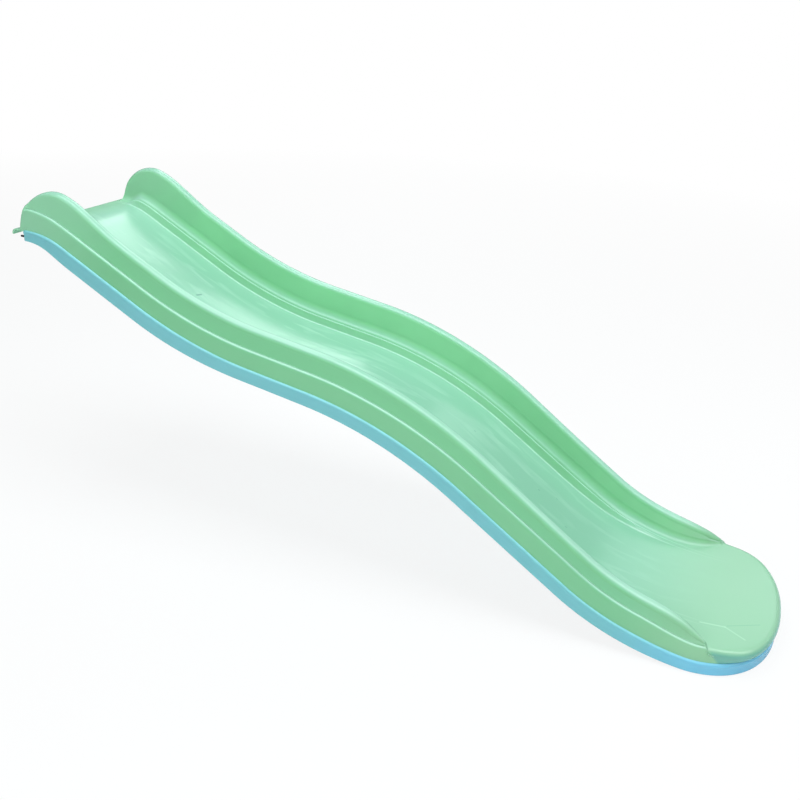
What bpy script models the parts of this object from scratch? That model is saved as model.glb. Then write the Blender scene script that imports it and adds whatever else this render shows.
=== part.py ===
"""Wave slide for a play deck: a green trough moulding on a light-blue base moulding.

Metres and degrees, +Z up. The slide stands as it is used: the top lip and the landing
are level and it runs downhill along +X. The origin is on the underside of the top lip,
where the lip rests on the edge of the deck.

Every surface is described by three numbers and then placed in space:
s, the distance along the lower edge of the slide, from the base's upper end;
y, the distance from the middle of the slide;
h, the height square to that lower edge.
"""

import math

import bmesh
import bpy
from mathutils import Matrix, Vector

# Length of the slide along its lower edge, from the base's end wall to the tip of the nose
SLIDE_LENGTH = 2.244

# Path of the lower edge: first drop, gentle wave, second drop, level landing. The runs and
# bend radii are in proportion to each other, and are scaled together to the length above
ENTRY_RADIUS = 0.190
FIRST_DROP_SLOPE = 28.0
FIRST_DROP_RUN = 0.290
DIP_RADIUS = 1.140
WAVE_SLOPE = 9.0
WAVE_RUN = 0.170
CREST_RADIUS = 1.035
SECOND_DROP_SLOPE = 34.0
SECOND_DROP_RUN = 0.340
EXIT_RADIUS = 0.632
LANDING_RUN = 0.166

# Plan
BODY_WIDTH = 0.500
NOSE_LENGTH = 0.213
NOSE_FULLNESS = 2.31

# Skins and fits
TROUGH_SKIN = 0.0045
BASE_SKIN = 0.0040
TOUCH_GAP = 0.0003
LAP_GAP = 0.0020
BEAD_GAP = 0.0005

# Heights above the lower edge
BASE_HEIGHT = 0.0385
BASE_NOSE_HEIGHT = 0.033
SKIRT_LAP = 0.0085
FLOOR_HEIGHT = 0.030
LANDING_HEIGHT = 0.066
STEP_HEIGHT = 0.0175
RIDGE_HEIGHT = 0.087
RIDGE_END_HEIGHT = 0.074
RIM_HEIGHT = 0.133
LOWER_RIM_HEIGHT = 0.117
HUMP_HEIGHT = 0.149

# Section of the side walls, as distances inwards from the widest line of the base
RIDGE_LEDGE = 0.0085
LOWER_PANEL_DRAFT = 0.0045
RIM_WIDTH = 0.032
RIM_ROUND = 0.015
RIM_MIDDLE_INSET = 0.0515
FOOT_INSET = 0.080
FOOT_RADIUS = 0.030
END_FOOT_RADIUS = 0.022
FOOT_LIFT = 0.001
FOOT_OPENING = 28.0
STEP_TOP = 0.0235
STEP_FOOT = 0.0365
WALL_SPREAD = 0.024
# Corners of the ledge, inwards and upwards, as shares of its width
LEDGE_SHAPE = [(0.0, -0.4), (0.3, 0.0), (0.8, 0.2), (1.0, 0.6)]
PAD_SIDE_INSET = 0.0115
PAD_CORNER_INSET = -0.006
PAD_TIP_INSET = -0.002
PAD_EDGE_ROUND = 0.020

# Where things change along the slide
WALL_OVERHANG = 0.015
HUMP_PEAK = 0.065
HUMP_TAIL = 0.260
HUMP_FULLNESS = 1.8
SEAM_RAMP = 0.120
SKIRT_RAMP = 0.050
STEP_START = 0.010
STEP_RAMP = 0.040
LANDING_RAMP_START = 0.654
LANDING_RAMP_END = 0.209
WALL_FALL_START = 0.344
WALL_FALL_END = 0.156
EDGE_TURN_START = 0.224
EDGE_TURN_END = 0.130
PAD_CORNER = 0.054
WALL_FALL_FULLNESS = 0.7

# Lip that hooks over the deck
LIP_REACH = 0.046
LIP_RADIUS = 0.016
LIP_SEAT_MARGIN = 0.003

# Base moulding
BEAD_RADIUS = 0.005
FOOT_STRIP = 0.012
FOOT_DROP = 0.007
FOOT_DROP_STARTS = (0.030, 0.160)
FOOT_DROP_ENDS = (0.420, 0.800)
FOOT_CORNER = 0.0035
PANEL_RECESS = 0.006
PANEL_SLOPE = 0.003
FIRST_ROW = 0.016

# Screws that join the two mouldings
SCREWS_PER_SIDE = 8
SCREW_ROW = 0.095
FIRST_SCREW = 0.110
LAST_SCREW_FROM_TIP = 0.330
NOSE_SCREW_FROM_TIP = 0.100
SCREW_SHANK = 0.0045
SCREW_HEAD = 0.0100
SCREW_HEAD_HEIGHT = 0.0027
SCREW_GRIP = 0.0110
SCREW_CLEARANCE = 0.0005
BOSS_DIAMETER = 0.016
BOSS_BURY = 0.0022
BOSS_GAP = 0.0006

# Bolts that fix the base to the deck
BOLT_SHANK = 0.0060
BOLT_HEAD = 0.0100
BOLT_HEAD_HEIGHT = 0.0040
BOLT_REACH = 0.020
BOLT_SIDE_INSET = 0.0105
BOLT_HEIGHT = 0.0105
BOLT_CLEARANCE = 0.0005

# Mesh fineness
BEND_STEP = 5.0
LONGEST_STEP = 0.170
SHORTEST_STEP = 0.011
FINE_STEP = 0.030
HUMP_STEPS = 7
LIP_STEPS = 4
NOSE_STEPS = 11
RIM_STEPS = 5
ROUND_SIDES = 12
WELD = 0.00002


def mix(first, second, share):
    return first + (second - first) * share


def ease(value, start, end):
    """0 before start, 1 after end and a smooth S between them."""
    share = min(1.0, max(0.0, (value - start) / (end - start)))
    return share * share * (3.0 - 2.0 * share)


def path_legs():
    """(length, slope at its start, slope at its end) of each straight run and bend."""
    first = math.radians(FIRST_DROP_SLOPE)
    wave = math.radians(WAVE_SLOPE)
    second = math.radians(SECOND_DROP_SLOPE)
    legs = [
        (ENTRY_RADIUS * first, 0.0, first),
        (FIRST_DROP_RUN, first, first),
        (DIP_RADIUS * (first - wave), first, wave),
        (WAVE_RUN, wave, wave),
        (CREST_RADIUS * (second - wave), wave, second),
        (SECOND_DROP_RUN, second, second),
        (EXIT_RADIUS * second, second, 0.0),
        (LANDING_RUN, 0.0, 0.0),
    ]
    fit = SLIDE_LENGTH / sum(leg[0] for leg in legs)
    return [(length * fit, start, end) for length, start, end in legs]


LEGS = path_legs()
NOSE_START = SLIDE_LENGTH - NOSE_LENGTH
SEAT_HEIGHT = FLOOR_HEIGHT - TROUGH_SKIN
SEAT_MIDDLE = (LIP_REACH - LIP_RADIUS) / -2.0


def path_frame(s):
    """(x, z, slope) of the lower edge at s; before its start and past its end it runs level."""
    x = min(s, 0.0)
    z = 0.0
    left = max(s, 0.0)
    for length, start, end in LEGS:
        part = min(left, length)
        bend = (end - start) / length
        slope = start + bend * part
        if abs(bend) < 1e-9:
            x += part * math.cos(start)
            z -= part * math.sin(start)
        else:
            x += (math.sin(slope) - math.sin(start)) / bend
            z += (math.cos(slope) - math.cos(start)) / bend
        left -= part
        if left <= 0.0:
            return x, z, slope
    return x + left, z, slope


def place(s, y, h):
    """The point in space of (s, y, h)."""
    x, z, slope = path_frame(s)
    across = Vector((math.sin(slope), 0.0, math.cos(slope))) * h
    return Vector((x - SEAT_MIDDLE, y, z - SEAT_HEIGHT)) + across


def floor_height(s):
    """Top of the trough floor, which climbs to the landing's height."""
    start = SLIDE_LENGTH - LANDING_RAMP_START
    end = SLIDE_LENGTH - LANDING_RAMP_END
    return mix(FLOOR_HEIGHT, LANDING_HEIGHT, ease(s, start, end))


def step_share(s):
    """1 where the step between the floor and each wall is full, and 0 past both its ends."""
    opens = ease(s, STEP_START, STEP_START + STEP_RAMP)
    start = SLIDE_LENGTH - LANDING_RAMP_START
    end = SLIDE_LENGTH - LANDING_RAMP_END
    return opens * (1.0 - ease(s, start, end))


def wall_share(s):
    """1 where the wall stands at its full height and 0 where it has sunk into the landing."""
    start = SLIDE_LENGTH - WALL_FALL_START
    end = SLIDE_LENGTH - WALL_FALL_END
    u = min(1.0, max(0.0, (s - start) / (end - start)))
    return (1.0 - u**2) ** WALL_FALL_FULLNESS


def rim_height(s):
    """Height of the crest of the rim, from the hand hump to the end of the wall."""
    high = mix(HUMP_HEIGHT, RIM_HEIGHT, ease(s, HUMP_PEAK, HUMP_TAIL))
    crest_start = sum(leg[0] for leg in LEGS[:4])
    crest_end = crest_start + LEGS[4][0] + LEGS[5][0]
    full = mix(high, LOWER_RIM_HEIGHT, ease(s, crest_start, crest_end))
    if s < HUMP_PEAK:
        u = min(1.0, (HUMP_PEAK - s) / (HUMP_PEAK + WALL_OVERHANG))
        rise = (1.0 - u**HUMP_FULLNESS) ** (1.0 / HUMP_FULLNESS)
        return mix(FLOOR_HEIGHT, HUMP_HEIGHT, rise)
    return mix(floor_height(s), full, wall_share(s))


def landing_share(s):
    """0 along the walls and 1 on the landing."""
    return ease(s, SLIDE_LENGTH - WALL_FALL_START, SLIDE_LENGTH - WALL_FALL_END)


def ridge_height(s):
    """Height of the outer ledge, which comes down to the landing beside the end of the wall."""
    return mix(RIDGE_HEIGHT, RIDGE_END_HEIGHT, landing_share(s))


def seam_height(s):
    """Top edge of the base moulding, which is lower at the end wall and at the landing."""
    rising = mix(FLOOR_HEIGHT, BASE_HEIGHT, ease(s, 0.0, SEAM_RAMP))
    return mix(rising, BASE_NOSE_HEIGHT, landing_share(s))


def skirt_bottom(s):
    """Lower edge of the trough's side walls: inside the base, but clear of its end wall."""
    return seam_height(s) - SKIRT_LAP * ease(s, 1.5 * BASE_SKIN, SKIRT_RAMP)


def skirt_inset():
    return BASE_SKIN + LAP_GAP


def pad_inset(s):
    """Inset of the landing's edge: most along its sides and least at its two corners."""
    corner = SLIDE_LENGTH - PAD_CORNER
    side = mix(PAD_SIDE_INSET, PAD_CORNER_INSET, ease(s, SLIDE_LENGTH - WALL_FALL_END, corner))
    return mix(side, PAD_TIP_INSET, ease(s, corner, SLIDE_LENGTH))


def ledge_points(s, panel):
    """The ledge along the outer wall, which turns into the rounded edge of the landing."""
    share = ease(s, SLIDE_LENGTH - EDGE_TURN_START, SLIDE_LENGTH - EDGE_TURN_END)
    rounding = PAD_EDGE_ROUND
    points = []
    for step, (inwards, upwards) in enumerate(LEDGE_SHAPE):
        angle = math.pi / 2.0 * step / (len(LEDGE_SHAPE) - 1)
        ledge = (panel + inwards * RIDGE_LEDGE, ridge_height(s) + upwards * RIDGE_LEDGE)
        inset = pad_inset(s) + rounding * (1.0 - math.cos(angle))
        height = LANDING_HEIGHT - rounding * (1.0 - math.sin(angle))
        points.append((mix(ledge[0], inset, share), mix(ledge[1], height, share)))
    return points


def arc(inset, height, radius, start, end):
    """Three points of a rounded corner about (inset, height), from one angle to another."""
    points = []
    for degrees in (start, (start + end) / 2.0, end):
        angle = math.radians(degrees)
        points.append((inset + radius * math.cos(angle), height + radius * math.sin(angle)))
    return points


def cut_at(points, top):
    """The points of a face that rises, with those above top drawn down along it to top."""
    kept = [points[0]]
    for (inset, height), (next_inset, next_height) in zip(points, points[1:]):
        if next_height <= top:
            kept.append((next_inset, next_height))
        elif height < top:
            share = (top - height) / (next_height - height)
            kept.append((mix(inset, next_inset, share), top))
        else:
            kept.append(kept[-1])
    return kept


def outer_face(s, shoulder):
    """Outer wall from the skirt that laps into the base up to the shoulder of the rim."""
    inset = skirt_inset()
    panel = inset + LOWER_PANEL_DRAFT
    skirt = [(inset, skirt_bottom(s)), (inset + BEAD_GAP, seam_height(s))]
    return skirt + ledge_points(s, panel) + [shoulder]


def rim_arc(outer, inner, top, crest):
    """Half-round rim between the two faces of the wall."""
    middle = (outer + inner) / 2.0
    half = (inner - outer) / 2.0
    points = []
    for step in range(RIM_STEPS + 1):
        angle = math.pi * step / RIM_STEPS
        points.append((middle - half * math.cos(angle), mix(top, crest, math.sin(angle))))
    return points


def inner_face(s, shoulder, spread):
    """Inner wall from the step at its foot up to the shoulder of the rim."""
    share = step_share(s)
    foot = floor_height(s) + (STEP_HEIGHT + FOOT_LIFT) * share
    radius = mix(END_FOOT_RADIUS, FOOT_RADIUS, share)
    middle = FOOT_INSET - spread + radius
    return arc(middle, foot + radius, radius, 270.0 - FOOT_OPENING * share, 180.0) + [shoulder]


def step_edge(s, spread):
    """The step from the wall's foot down to the floor."""
    floor = floor_height(s)
    inset = FOOT_INSET - spread
    return [(inset + STEP_TOP, floor + STEP_HEIGHT * step_share(s)), (inset + STEP_FOOT, floor)]


def standing_crest(s):
    """Height of the rim's crest if the wall weren't rounded off at its upper end."""
    return rim_height(max(s, HUMP_PEAK))


def trough_section(s):
    """(inset, height) from the skirt over the rim to the edge of the flat floor."""
    crest = rim_height(s)
    floor = floor_height(s)
    full_top = standing_crest(s) - min(RIM_ROUND, 0.5 * (standing_crest(s) - floor))
    top = crest - min(RIM_ROUND, 0.5 * (crest - floor))
    spread = WALL_SPREAD * (1.0 - wall_share(s))
    outer = (RIM_MIDDLE_INSET - RIM_WIDTH / 2.0 - 0.3 * spread, full_top)
    inner = (RIM_MIDDLE_INSET + RIM_WIDTH / 2.0 - spread, full_top)
    rising = cut_at(outer_face(s, outer), top)
    falling = cut_at(inner_face(s, inner, spread), top)[::-1]
    arc = rim_arc(rising[-1][0], falling[0][0], top, crest)
    return rising + arc[1:-1] + falling + step_edge(s, spread)


def bend_between(start, end):
    """Degrees that the path turns through between two places, whichever way it turns."""
    samples = 24
    slopes = [path_frame(mix(start, end, at / samples))[2] for at in range(samples + 1)]
    return math.degrees(sum(abs(b - a) for a, b in zip(slopes, slopes[1:])))


def screw_marks():
    """Places of the two rows of joining screws along the slide."""
    last = SLIDE_LENGTH - LAST_SCREW_FROM_TIP
    share = max(1, SCREWS_PER_SIDE - 1)
    return [mix(FIRST_SCREW, last, number / share) for number in range(SCREWS_PER_SIDE)]


def path_marks(first):
    """Where the mesh has a row, from first to the nose: at each screw, and between by the bend."""
    fine = SLIDE_LENGTH - WALL_FALL_START
    anchors = [mark for mark in screw_marks() if first < mark < fine - SHORTEST_STEP]
    anchors = [first] + anchors + [fine, NOSE_START]
    marks = []
    for start, end in zip(anchors, anchors[1:]):
        longest = FINE_STEP if start >= fine else LONGEST_STEP
        parts = math.ceil(max(bend_between(start, end) / BEND_STEP, (end - start) / longest))
        marks += [mix(start, end, part / parts) for part in range(parts)]
    return marks


def hump_marks():
    """Rows round the end of the hand hump, evenly spread along its curve, and one at s = 0."""
    span = HUMP_PEAK + WALL_OVERHANG
    marks = [0.0]
    for step in range(1, HUMP_STEPS):
        angle = math.pi / 2.0 * step / HUMP_STEPS
        marks.append(HUMP_PEAK - span * math.cos(angle) ** (2.0 / HUMP_FULLNESS))
    return sorted(marks)


def nose_rows():
    """(s, angle) of the rows round the nose, whose last row is at its tip."""
    rows = []
    for step in range(NOSE_STEPS + 1):
        angle = math.pi / 2.0 * step / NOSE_STEPS
        ahead = NOSE_LENGTH * math.sin(angle) ** (2.0 / NOSE_FULLNESS)
        rows.append((NOSE_START + ahead, angle))
    return rows


def plan_point(row, inset):
    """(s, y) of the point that lies inset inwards from the outline at this row."""
    s, angle = row
    half_width = BODY_WIDTH / 2.0
    cosine = max(math.cos(angle), 0.0)
    across = half_width * cosine ** (2.0 / NOSE_FULLNESS)
    bend = 2.0 - 2.0 / NOSE_FULLNESS
    ahead_part = math.sin(angle) ** bend / NOSE_LENGTH
    normal = Vector((ahead_part, cosine**bend / half_width)).normalized()
    return s - normal.x * inset, across - normal.y * inset


def half_row(row, section):
    """The points of one row, from the outer edge to the middle of the slide."""
    points = []
    for inset, height in section:
        s, y = plan_point(row, inset)
        points.append((s, max(y, 0.0), height))
    s, y, height = points[-1]
    points.append((s, y * 0.5, height))
    points.append((s, 0.0, height))
    return points


def full_row(half):
    """Both sides of a row as points in space, from +Y to -Y."""
    left = [place(s, y, h) for s, y, h in half]
    right = [place(s, -y, h) for s, y, h in reversed(half[:-1])]
    return left + right


def grid_faces(bm, rows):
    """Adds the surface through the rows, its faces up and out, and returns its vertices."""
    grid = [[bm.verts.new(point) for point in row] for row in rows]
    for upper, lower in zip(grid, grid[1:]):
        for column in range(len(upper) - 1):
            bm.faces.new((upper[column], upper[column + 1], lower[column + 1], lower[column]))
    return grid


def weld_into_mesh(bm, name):
    """Mesh of the faces, with the points that rows share made one."""
    bmesh.ops.remove_doubles(bm, verts=bm.verts, dist=WELD)
    bmesh.ops.dissolve_degenerate(bm, edges=bm.edges, dist=WELD)
    mesh = bpy.data.meshes.new(name)
    bm.to_mesh(mesh)
    bm.free()
    return mesh


def skin_mesh(name, rows):
    """Mesh of the open surface through the rows."""
    bm = bmesh.new()
    grid_faces(bm, rows)
    return weld_into_mesh(bm, name)


def shell_mesh(name, upper_rows, lower_rows):
    """Closed mesh between two surfaces with as many rows and columns as each other."""
    bm = bmesh.new()
    upper = grid_faces(bm, upper_rows)
    lower = grid_faces(bm, [row[::-1] for row in lower_rows])
    lower = [row[::-1] for row in lower]
    borders = [
        (upper[0][::-1], lower[0][::-1]),
        ([row[0] for row in upper], [row[0] for row in lower]),
        ([row[-1] for row in upper][::-1], [row[-1] for row in lower][::-1]),
    ]
    for top, bottom in borders:
        for at in range(len(top) - 1):
            bm.faces.new((top[at], top[at + 1], bottom[at + 1], bottom[at]))
    return weld_into_mesh(bm, name)


def new_object(name, mesh, material):
    mesh.materials.append(material)
    mesh.shade_smooth()
    mesh.set_sharp_from_angle(angle=math.radians(40.0))
    node = bpy.data.objects.new(name, mesh)
    bpy.context.scene.collection.objects.link(node)
    return node


def surface(name, colour, roughness, metallic):
    material = bpy.data.materials.new(name)
    material.use_nodes = True
    shader = material.node_tree.nodes["Principled BSDF"]
    shader.inputs["Base Color"].default_value = (*colour, 1.0)
    shader.inputs["Roughness"].default_value = roughness
    shader.inputs["Metallic"].default_value = metallic
    return material


def add_skin(node, thickness):
    """Gives the surface its thickness, inwards from the face that shows."""
    solidify = node.modifiers.new("Skin", "SOLIDIFY")
    solidify.thickness = thickness
    solidify.offset = -1.0
    solidify.use_rim = True


def add_boolean(node, other, operation):
    boolean = node.modifiers.new(other.name, "BOOLEAN")
    boolean.operation = operation
    boolean.solver = "EXACT"
    boolean.object = other


def hide_helper(node):
    node.hide_render = True
    node.display_type = "WIRE"


def cylinder(bm, radius, bottom, top, sides=ROUND_SIDES):
    """Adds an upright cylinder about the local Z axis and returns its vertices."""
    made = bmesh.ops.create_cone(
        bm,
        cap_ends=True,
        segments=sides,
        radius1=radius,
        radius2=radius,
        depth=top - bottom,
        matrix=Matrix.Translation((0.0, 0.0, (top + bottom) / 2.0)),
    )
    return made["verts"]


def standing_on_path(s, y):
    """Matrix whose local Z is the height above the path at (s, y)."""
    slope = path_frame(s)[2]
    return Matrix.Translation(place(s, y, 0.0)) @ Matrix.Rotation(slope, 4, "Y")


def base_panel_top():
    return PANEL_RECESS + BASE_SKIN


def screw_places():
    """(name, s, y) of each screw: a row down each side and one in the nose."""
    places = []
    for side, name in ((1.0, "left"), (-1.0, "right")):
        for number, s in enumerate(screw_marks()):
            places.append((f"joining_screw_{name}_{number + 1}", s, side * SCREW_ROW))
    nose = SLIDE_LENGTH - NOSE_SCREW_FROM_TIP
    return places + [("joining_screw_nose", nose, 0.0)]


def boss_top(s):
    return floor_height(s) - TROUGH_SKIN + BOSS_BURY


def boss_bottom():
    return base_panel_top() + BOSS_GAP


def screw_tip(s):
    """Height that the screw's point reaches inside its boss."""
    room = boss_top(s) - BOSS_BURY - TOUCH_GAP
    return min(base_panel_top() + SCREW_GRIP, room)


def upright_set(name, bottom, top, radius):
    """One helper with a cylinder at each screw, between two heights that depend on s."""
    bm = bmesh.new()
    for _, s, y in screw_places():
        verts = cylinder(bm, radius, bottom(s), top(s))
        bmesh.ops.transform(bm, matrix=standing_on_path(s, y), verts=verts)
    mesh = bpy.data.meshes.new(name)
    bm.to_mesh(mesh)
    bm.free()
    helper = bpy.data.objects.new(name, mesh)
    bpy.context.scene.collection.objects.link(helper)
    hide_helper(helper)
    return helper


def lip_rows(insets):
    """Rows of the lip: a quarter round up from its edge, then level to the foot of the walls."""
    rows = []
    turn = -(LIP_REACH - LIP_RADIUS)
    for step in range(LIP_STEPS, -1, -1):
        angle = math.pi / 2.0 * step / LIP_STEPS
        s = turn - LIP_RADIUS * math.sin(angle)
        h = FLOOR_HEIGHT - LIP_RADIUS * (1.0 - math.cos(angle))
        rows.append(full_row(half_row((s, 0.0), [(inset, h) for inset in insets])))
    flat = (turn + LIP_SEAT_MARGIN, 0.0)
    rows.append(full_row(half_row(flat, [(inset, FLOOR_HEIGHT) for inset in insets])))
    return rows


def make_trough(material):
    """The green moulding: lip, trough floor, side walls and landing, all one skin."""
    marks = hump_marks() + path_marks(HUMP_PEAK)
    rows = lip_rows([inset for inset, _ in trough_section(marks[0])])
    for row in [(mark, 0.0) for mark in marks] + nose_rows():
        rows.append(full_row(half_row(row, trough_section(row[0]))))
    node = new_object("trough_shell", skin_mesh("trough_shell", rows), material)
    add_skin(node, TROUGH_SKIN)
    bosses = upright_set("boss_shapes", lambda s: boss_bottom(), boss_top, BOSS_DIAMETER / 2.0)
    bores = upright_set(
        "boss_bores",
        lambda s: boss_bottom() - BOSS_GAP,
        lambda s: screw_tip(s) + TOUCH_GAP,
        SCREW_SHANK / 2.0 + TOUCH_GAP,
    )
    add_boolean(node, bosses, "UNION")
    add_boolean(node, bores, "DIFFERENCE")
    return node


def foot_height(s):
    """Height of the strip that the base stands on, which hangs lower along the first drop."""
    return -FOOT_DROP * ease(s, *FOOT_DROP_STARTS) * (1.0 - ease(s, *FOOT_DROP_ENDS))


def base_section(s):
    """(inset, height) from the bead under the seam round the foot to the bottom panel."""
    seam = seam_height(s)
    foot = foot_height(s)
    strip_end = FOOT_CORNER + FOOT_STRIP
    bead = arc(BEAD_RADIUS, seam - BEAD_RADIUS, BEAD_RADIUS, 90.0, 180.0)
    corner = arc(FOOT_CORNER, foot + FOOT_CORNER, FOOT_CORNER, 180.0, 270.0)
    step_up = (strip_end + PANEL_SLOPE, PANEL_RECESS)
    panel = (strip_end + PANEL_SLOPE + PANEL_RECESS, PANEL_RECESS)
    return bead + corner + [(strip_end, foot), step_up, panel]


def offset_line(points, distance):
    """The line moved sideways by distance, towards the inside of the moulding."""
    moved = []
    for at, point in enumerate(points):
        before = Vector(points[max(at - 1, 0)])
        after = Vector(points[min(at + 1, len(points) - 1)])
        here = Vector(point)
        runs = [run.normalized() for run in (here - before, after - here) if run.length > 0.0]
        sides = [Vector((-run.y, run.x)) for run in runs]
        total = sides[0] + sides[-1]
        moved.append(tuple(here + total * distance / (1.0 + sides[0].dot(sides[-1]))))
    return moved


def base_inside(s):
    """The base's section moved in by the thickness of its skin."""
    top = (BEAD_RADIUS, seam_height(s) - BASE_SKIN)
    return [top] + offset_line(base_section(s), BASE_SKIN)[1:]


def base_rows(section_at, end):
    """Rows of one face of the base, whose end wall stands at s = end."""
    end_top = SEAT_HEIGHT - TOUCH_GAP
    section = section_at(end)
    raised = [(inset, max(height, end_top)) for inset, height in section]
    rows = [full_row(half_row((end, 0.0), raised)), full_row(half_row((end, 0.0), section))]
    for row in [(mark, 0.0) for mark in path_marks(FIRST_ROW)] + nose_rows():
        rows.append(full_row(half_row(row, section_at(row[0]))))
    return rows


def make_base(material):
    """The light-blue moulding: a shallow tray with a bead along its upper edge."""
    outside = base_rows(base_section, 0.0)
    mesh = shell_mesh("base_shell", base_rows(base_inside, BASE_SKIN), outside)
    node = new_object("base_shell", mesh, material)
    holes = upright_set(
        "screw_holes",
        lambda s: PANEL_RECESS - BASE_SKIN,
        lambda s: base_panel_top() + BASE_SKIN,
        SCREW_SHANK / 2.0 + SCREW_CLEARANCE,
    )
    add_boolean(node, holes, "DIFFERENCE")
    add_boolean(node, bolt_holes(), "DIFFERENCE")
    return node


def turned_mesh(name, profile):
    """Mesh turned about the local Z axis from a profile of (radius, height), bottom to top."""
    bm = bmesh.new()
    ring_verts = [bm.verts.new((radius, 0.0, height)) for radius, height in profile]
    edges = [bm.edges.new(pair) for pair in zip(ring_verts, ring_verts[1:])]
    bmesh.ops.spin(
        bm,
        geom=ring_verts + edges,
        cent=(0.0, 0.0, 0.0),
        axis=(0.0, 0.0, 1.0),
        angle=math.tau,
        steps=ROUND_SIDES,
        use_merge=True,
    )
    bmesh.ops.remove_doubles(bm, verts=bm.verts, dist=WELD)
    bmesh.ops.recalc_face_normals(bm, faces=bm.faces)
    mesh = bpy.data.meshes.new(name)
    bm.to_mesh(mesh)
    bm.free()
    return mesh


def screw_profile(length):
    """Pan-head screw, head down, whose head's upper face is at height 0."""
    head = SCREW_HEAD / 2.0
    shank = SCREW_SHANK / 2.0
    return [
        (0.0, -0.45 * SCREW_HEAD_HEIGHT),
        (0.35 * head, -SCREW_HEAD_HEIGHT),
        (0.75 * head, -0.9 * SCREW_HEAD_HEIGHT),
        (head, -0.4 * SCREW_HEAD_HEIGHT),
        (head, 0.0),
        (shank, 0.0),
        (shank, length - shank),
        (0.3 * shank, length),
        (0.0, length),
    ]


def make_screws(material):
    """Every joining screw, its head under the base's bottom panel."""
    head_seat = PANEL_RECESS - TOUCH_GAP
    for name, s, y in screw_places():
        length = screw_tip(s) - head_seat
        node = new_object(name, turned_mesh(name, screw_profile(length)), material)
        seat = Matrix.Translation((0.0, 0.0, head_seat))
        node.matrix_world = standing_on_path(s, y) @ seat


def bolt_places():
    across = BODY_WIDTH / 2.0 - BOLT_SIDE_INSET
    return [("deck_bolt_left", across), ("deck_bolt_right", -across)]


def bolt_axis(y, s):
    """Matrix whose local Z points uphill, out of the base's end wall."""
    return Matrix.Translation(place(s, y, BOLT_HEIGHT)) @ Matrix.Rotation(-math.pi / 2.0, 4, "Y")


def bolt_holes():
    bm = bmesh.new()
    for _, y in bolt_places():
        reach = 2.0 * BASE_SKIN
        verts = cylinder(bm, BOLT_SHANK / 2.0 + BOLT_CLEARANCE, -reach, reach)
        bmesh.ops.transform(bm, matrix=bolt_axis(y, 0.0), verts=verts)
    mesh = bpy.data.meshes.new("bolt_holes")
    bm.to_mesh(mesh)
    bm.free()
    helper = bpy.data.objects.new("bolt_holes", mesh)
    bpy.context.scene.collection.objects.link(helper)
    hide_helper(helper)
    return helper


def bolt_mesh(name):
    """Hexagon-head bolt whose head bears on the end wall from inside."""
    shank = BOLT_SHANK / 2.0
    length = BASE_SKIN + BOLT_REACH
    profile = [
        (0.0, -BOLT_HEAD_HEIGHT),
        (BOLT_HEAD / 2.0, -BOLT_HEAD_HEIGHT),
        (BOLT_HEAD / 2.0, 0.0),
        (shank, 0.0),
        (shank, length - 0.4 * shank),
        (0.6 * shank, length),
        (0.0, length),
    ]
    return turned_mesh(name, profile)


def make_bolts(material):
    for name, y in bolt_places():
        node = new_object(name, bolt_mesh(name), material)
        node.matrix_world = bolt_axis(y, BASE_SKIN + TOUCH_GAP)


def clear_scene():
    for node in list(bpy.data.objects):
        bpy.data.objects.remove(node)


def main():
    clear_scene()
    green = surface("green_polyethylene", (0.25, 0.62, 0.36), 0.25, 0.0)
    blue = surface("blue_polyethylene", (0.19, 0.55, 0.72), 0.25, 0.0)
    zinc = surface("zinc_plated_steel", (0.55, 0.56, 0.57), 0.35, 1.0)
    dark = surface("dark_steel", (0.12, 0.12, 0.13), 0.45, 1.0)
    make_trough(green)
    make_base(blue)
    make_screws(zinc)
    make_bolts(dark)


main()
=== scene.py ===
# %% [markdown]
# # A playground wave slide
#
# The slide is two plastic mouldings, one screwed on top of the other: a green trough that
# a child slides down, and a shallow light-blue base under it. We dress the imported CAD
# model. It comes in as a fixed frame in metres, so every piece made here goes exactly where
# the frame says, with no fitting by eye.

# %% Load the frame
import math

import bmesh
import bpy
from mathutils import Euler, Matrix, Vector


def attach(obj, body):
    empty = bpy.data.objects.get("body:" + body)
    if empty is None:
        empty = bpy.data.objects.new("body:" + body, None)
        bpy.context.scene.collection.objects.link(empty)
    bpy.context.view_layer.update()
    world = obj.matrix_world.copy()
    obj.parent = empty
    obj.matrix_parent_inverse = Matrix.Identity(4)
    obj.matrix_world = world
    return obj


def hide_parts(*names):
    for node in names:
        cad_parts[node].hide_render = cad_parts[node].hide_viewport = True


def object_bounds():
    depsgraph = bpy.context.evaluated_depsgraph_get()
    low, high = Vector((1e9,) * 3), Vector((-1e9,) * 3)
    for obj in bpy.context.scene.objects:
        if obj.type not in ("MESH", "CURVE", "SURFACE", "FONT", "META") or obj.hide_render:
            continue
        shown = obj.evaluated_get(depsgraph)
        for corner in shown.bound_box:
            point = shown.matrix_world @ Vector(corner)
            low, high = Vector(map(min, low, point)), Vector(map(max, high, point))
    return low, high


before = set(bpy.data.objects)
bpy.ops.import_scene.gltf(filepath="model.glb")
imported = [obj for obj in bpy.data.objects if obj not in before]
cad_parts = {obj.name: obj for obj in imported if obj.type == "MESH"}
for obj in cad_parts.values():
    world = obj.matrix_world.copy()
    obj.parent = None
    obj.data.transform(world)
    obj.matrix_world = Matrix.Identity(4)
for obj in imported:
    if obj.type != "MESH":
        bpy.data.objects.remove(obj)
cad_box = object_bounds()
print(len(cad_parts), "CAD nodes, box", cad_box)

# %% [markdown]
# ## The path
#
# The whole slide follows one line: level at the lip, a first drop, a gentle wave, a second
# drop and a level landing. A straight run keeps its slope and a bend changes it evenly, so
# eight pairs of length and slope describe all of it. Everything else is measured from this
# line with three numbers: s along it, y across it and h square to it.

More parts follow.
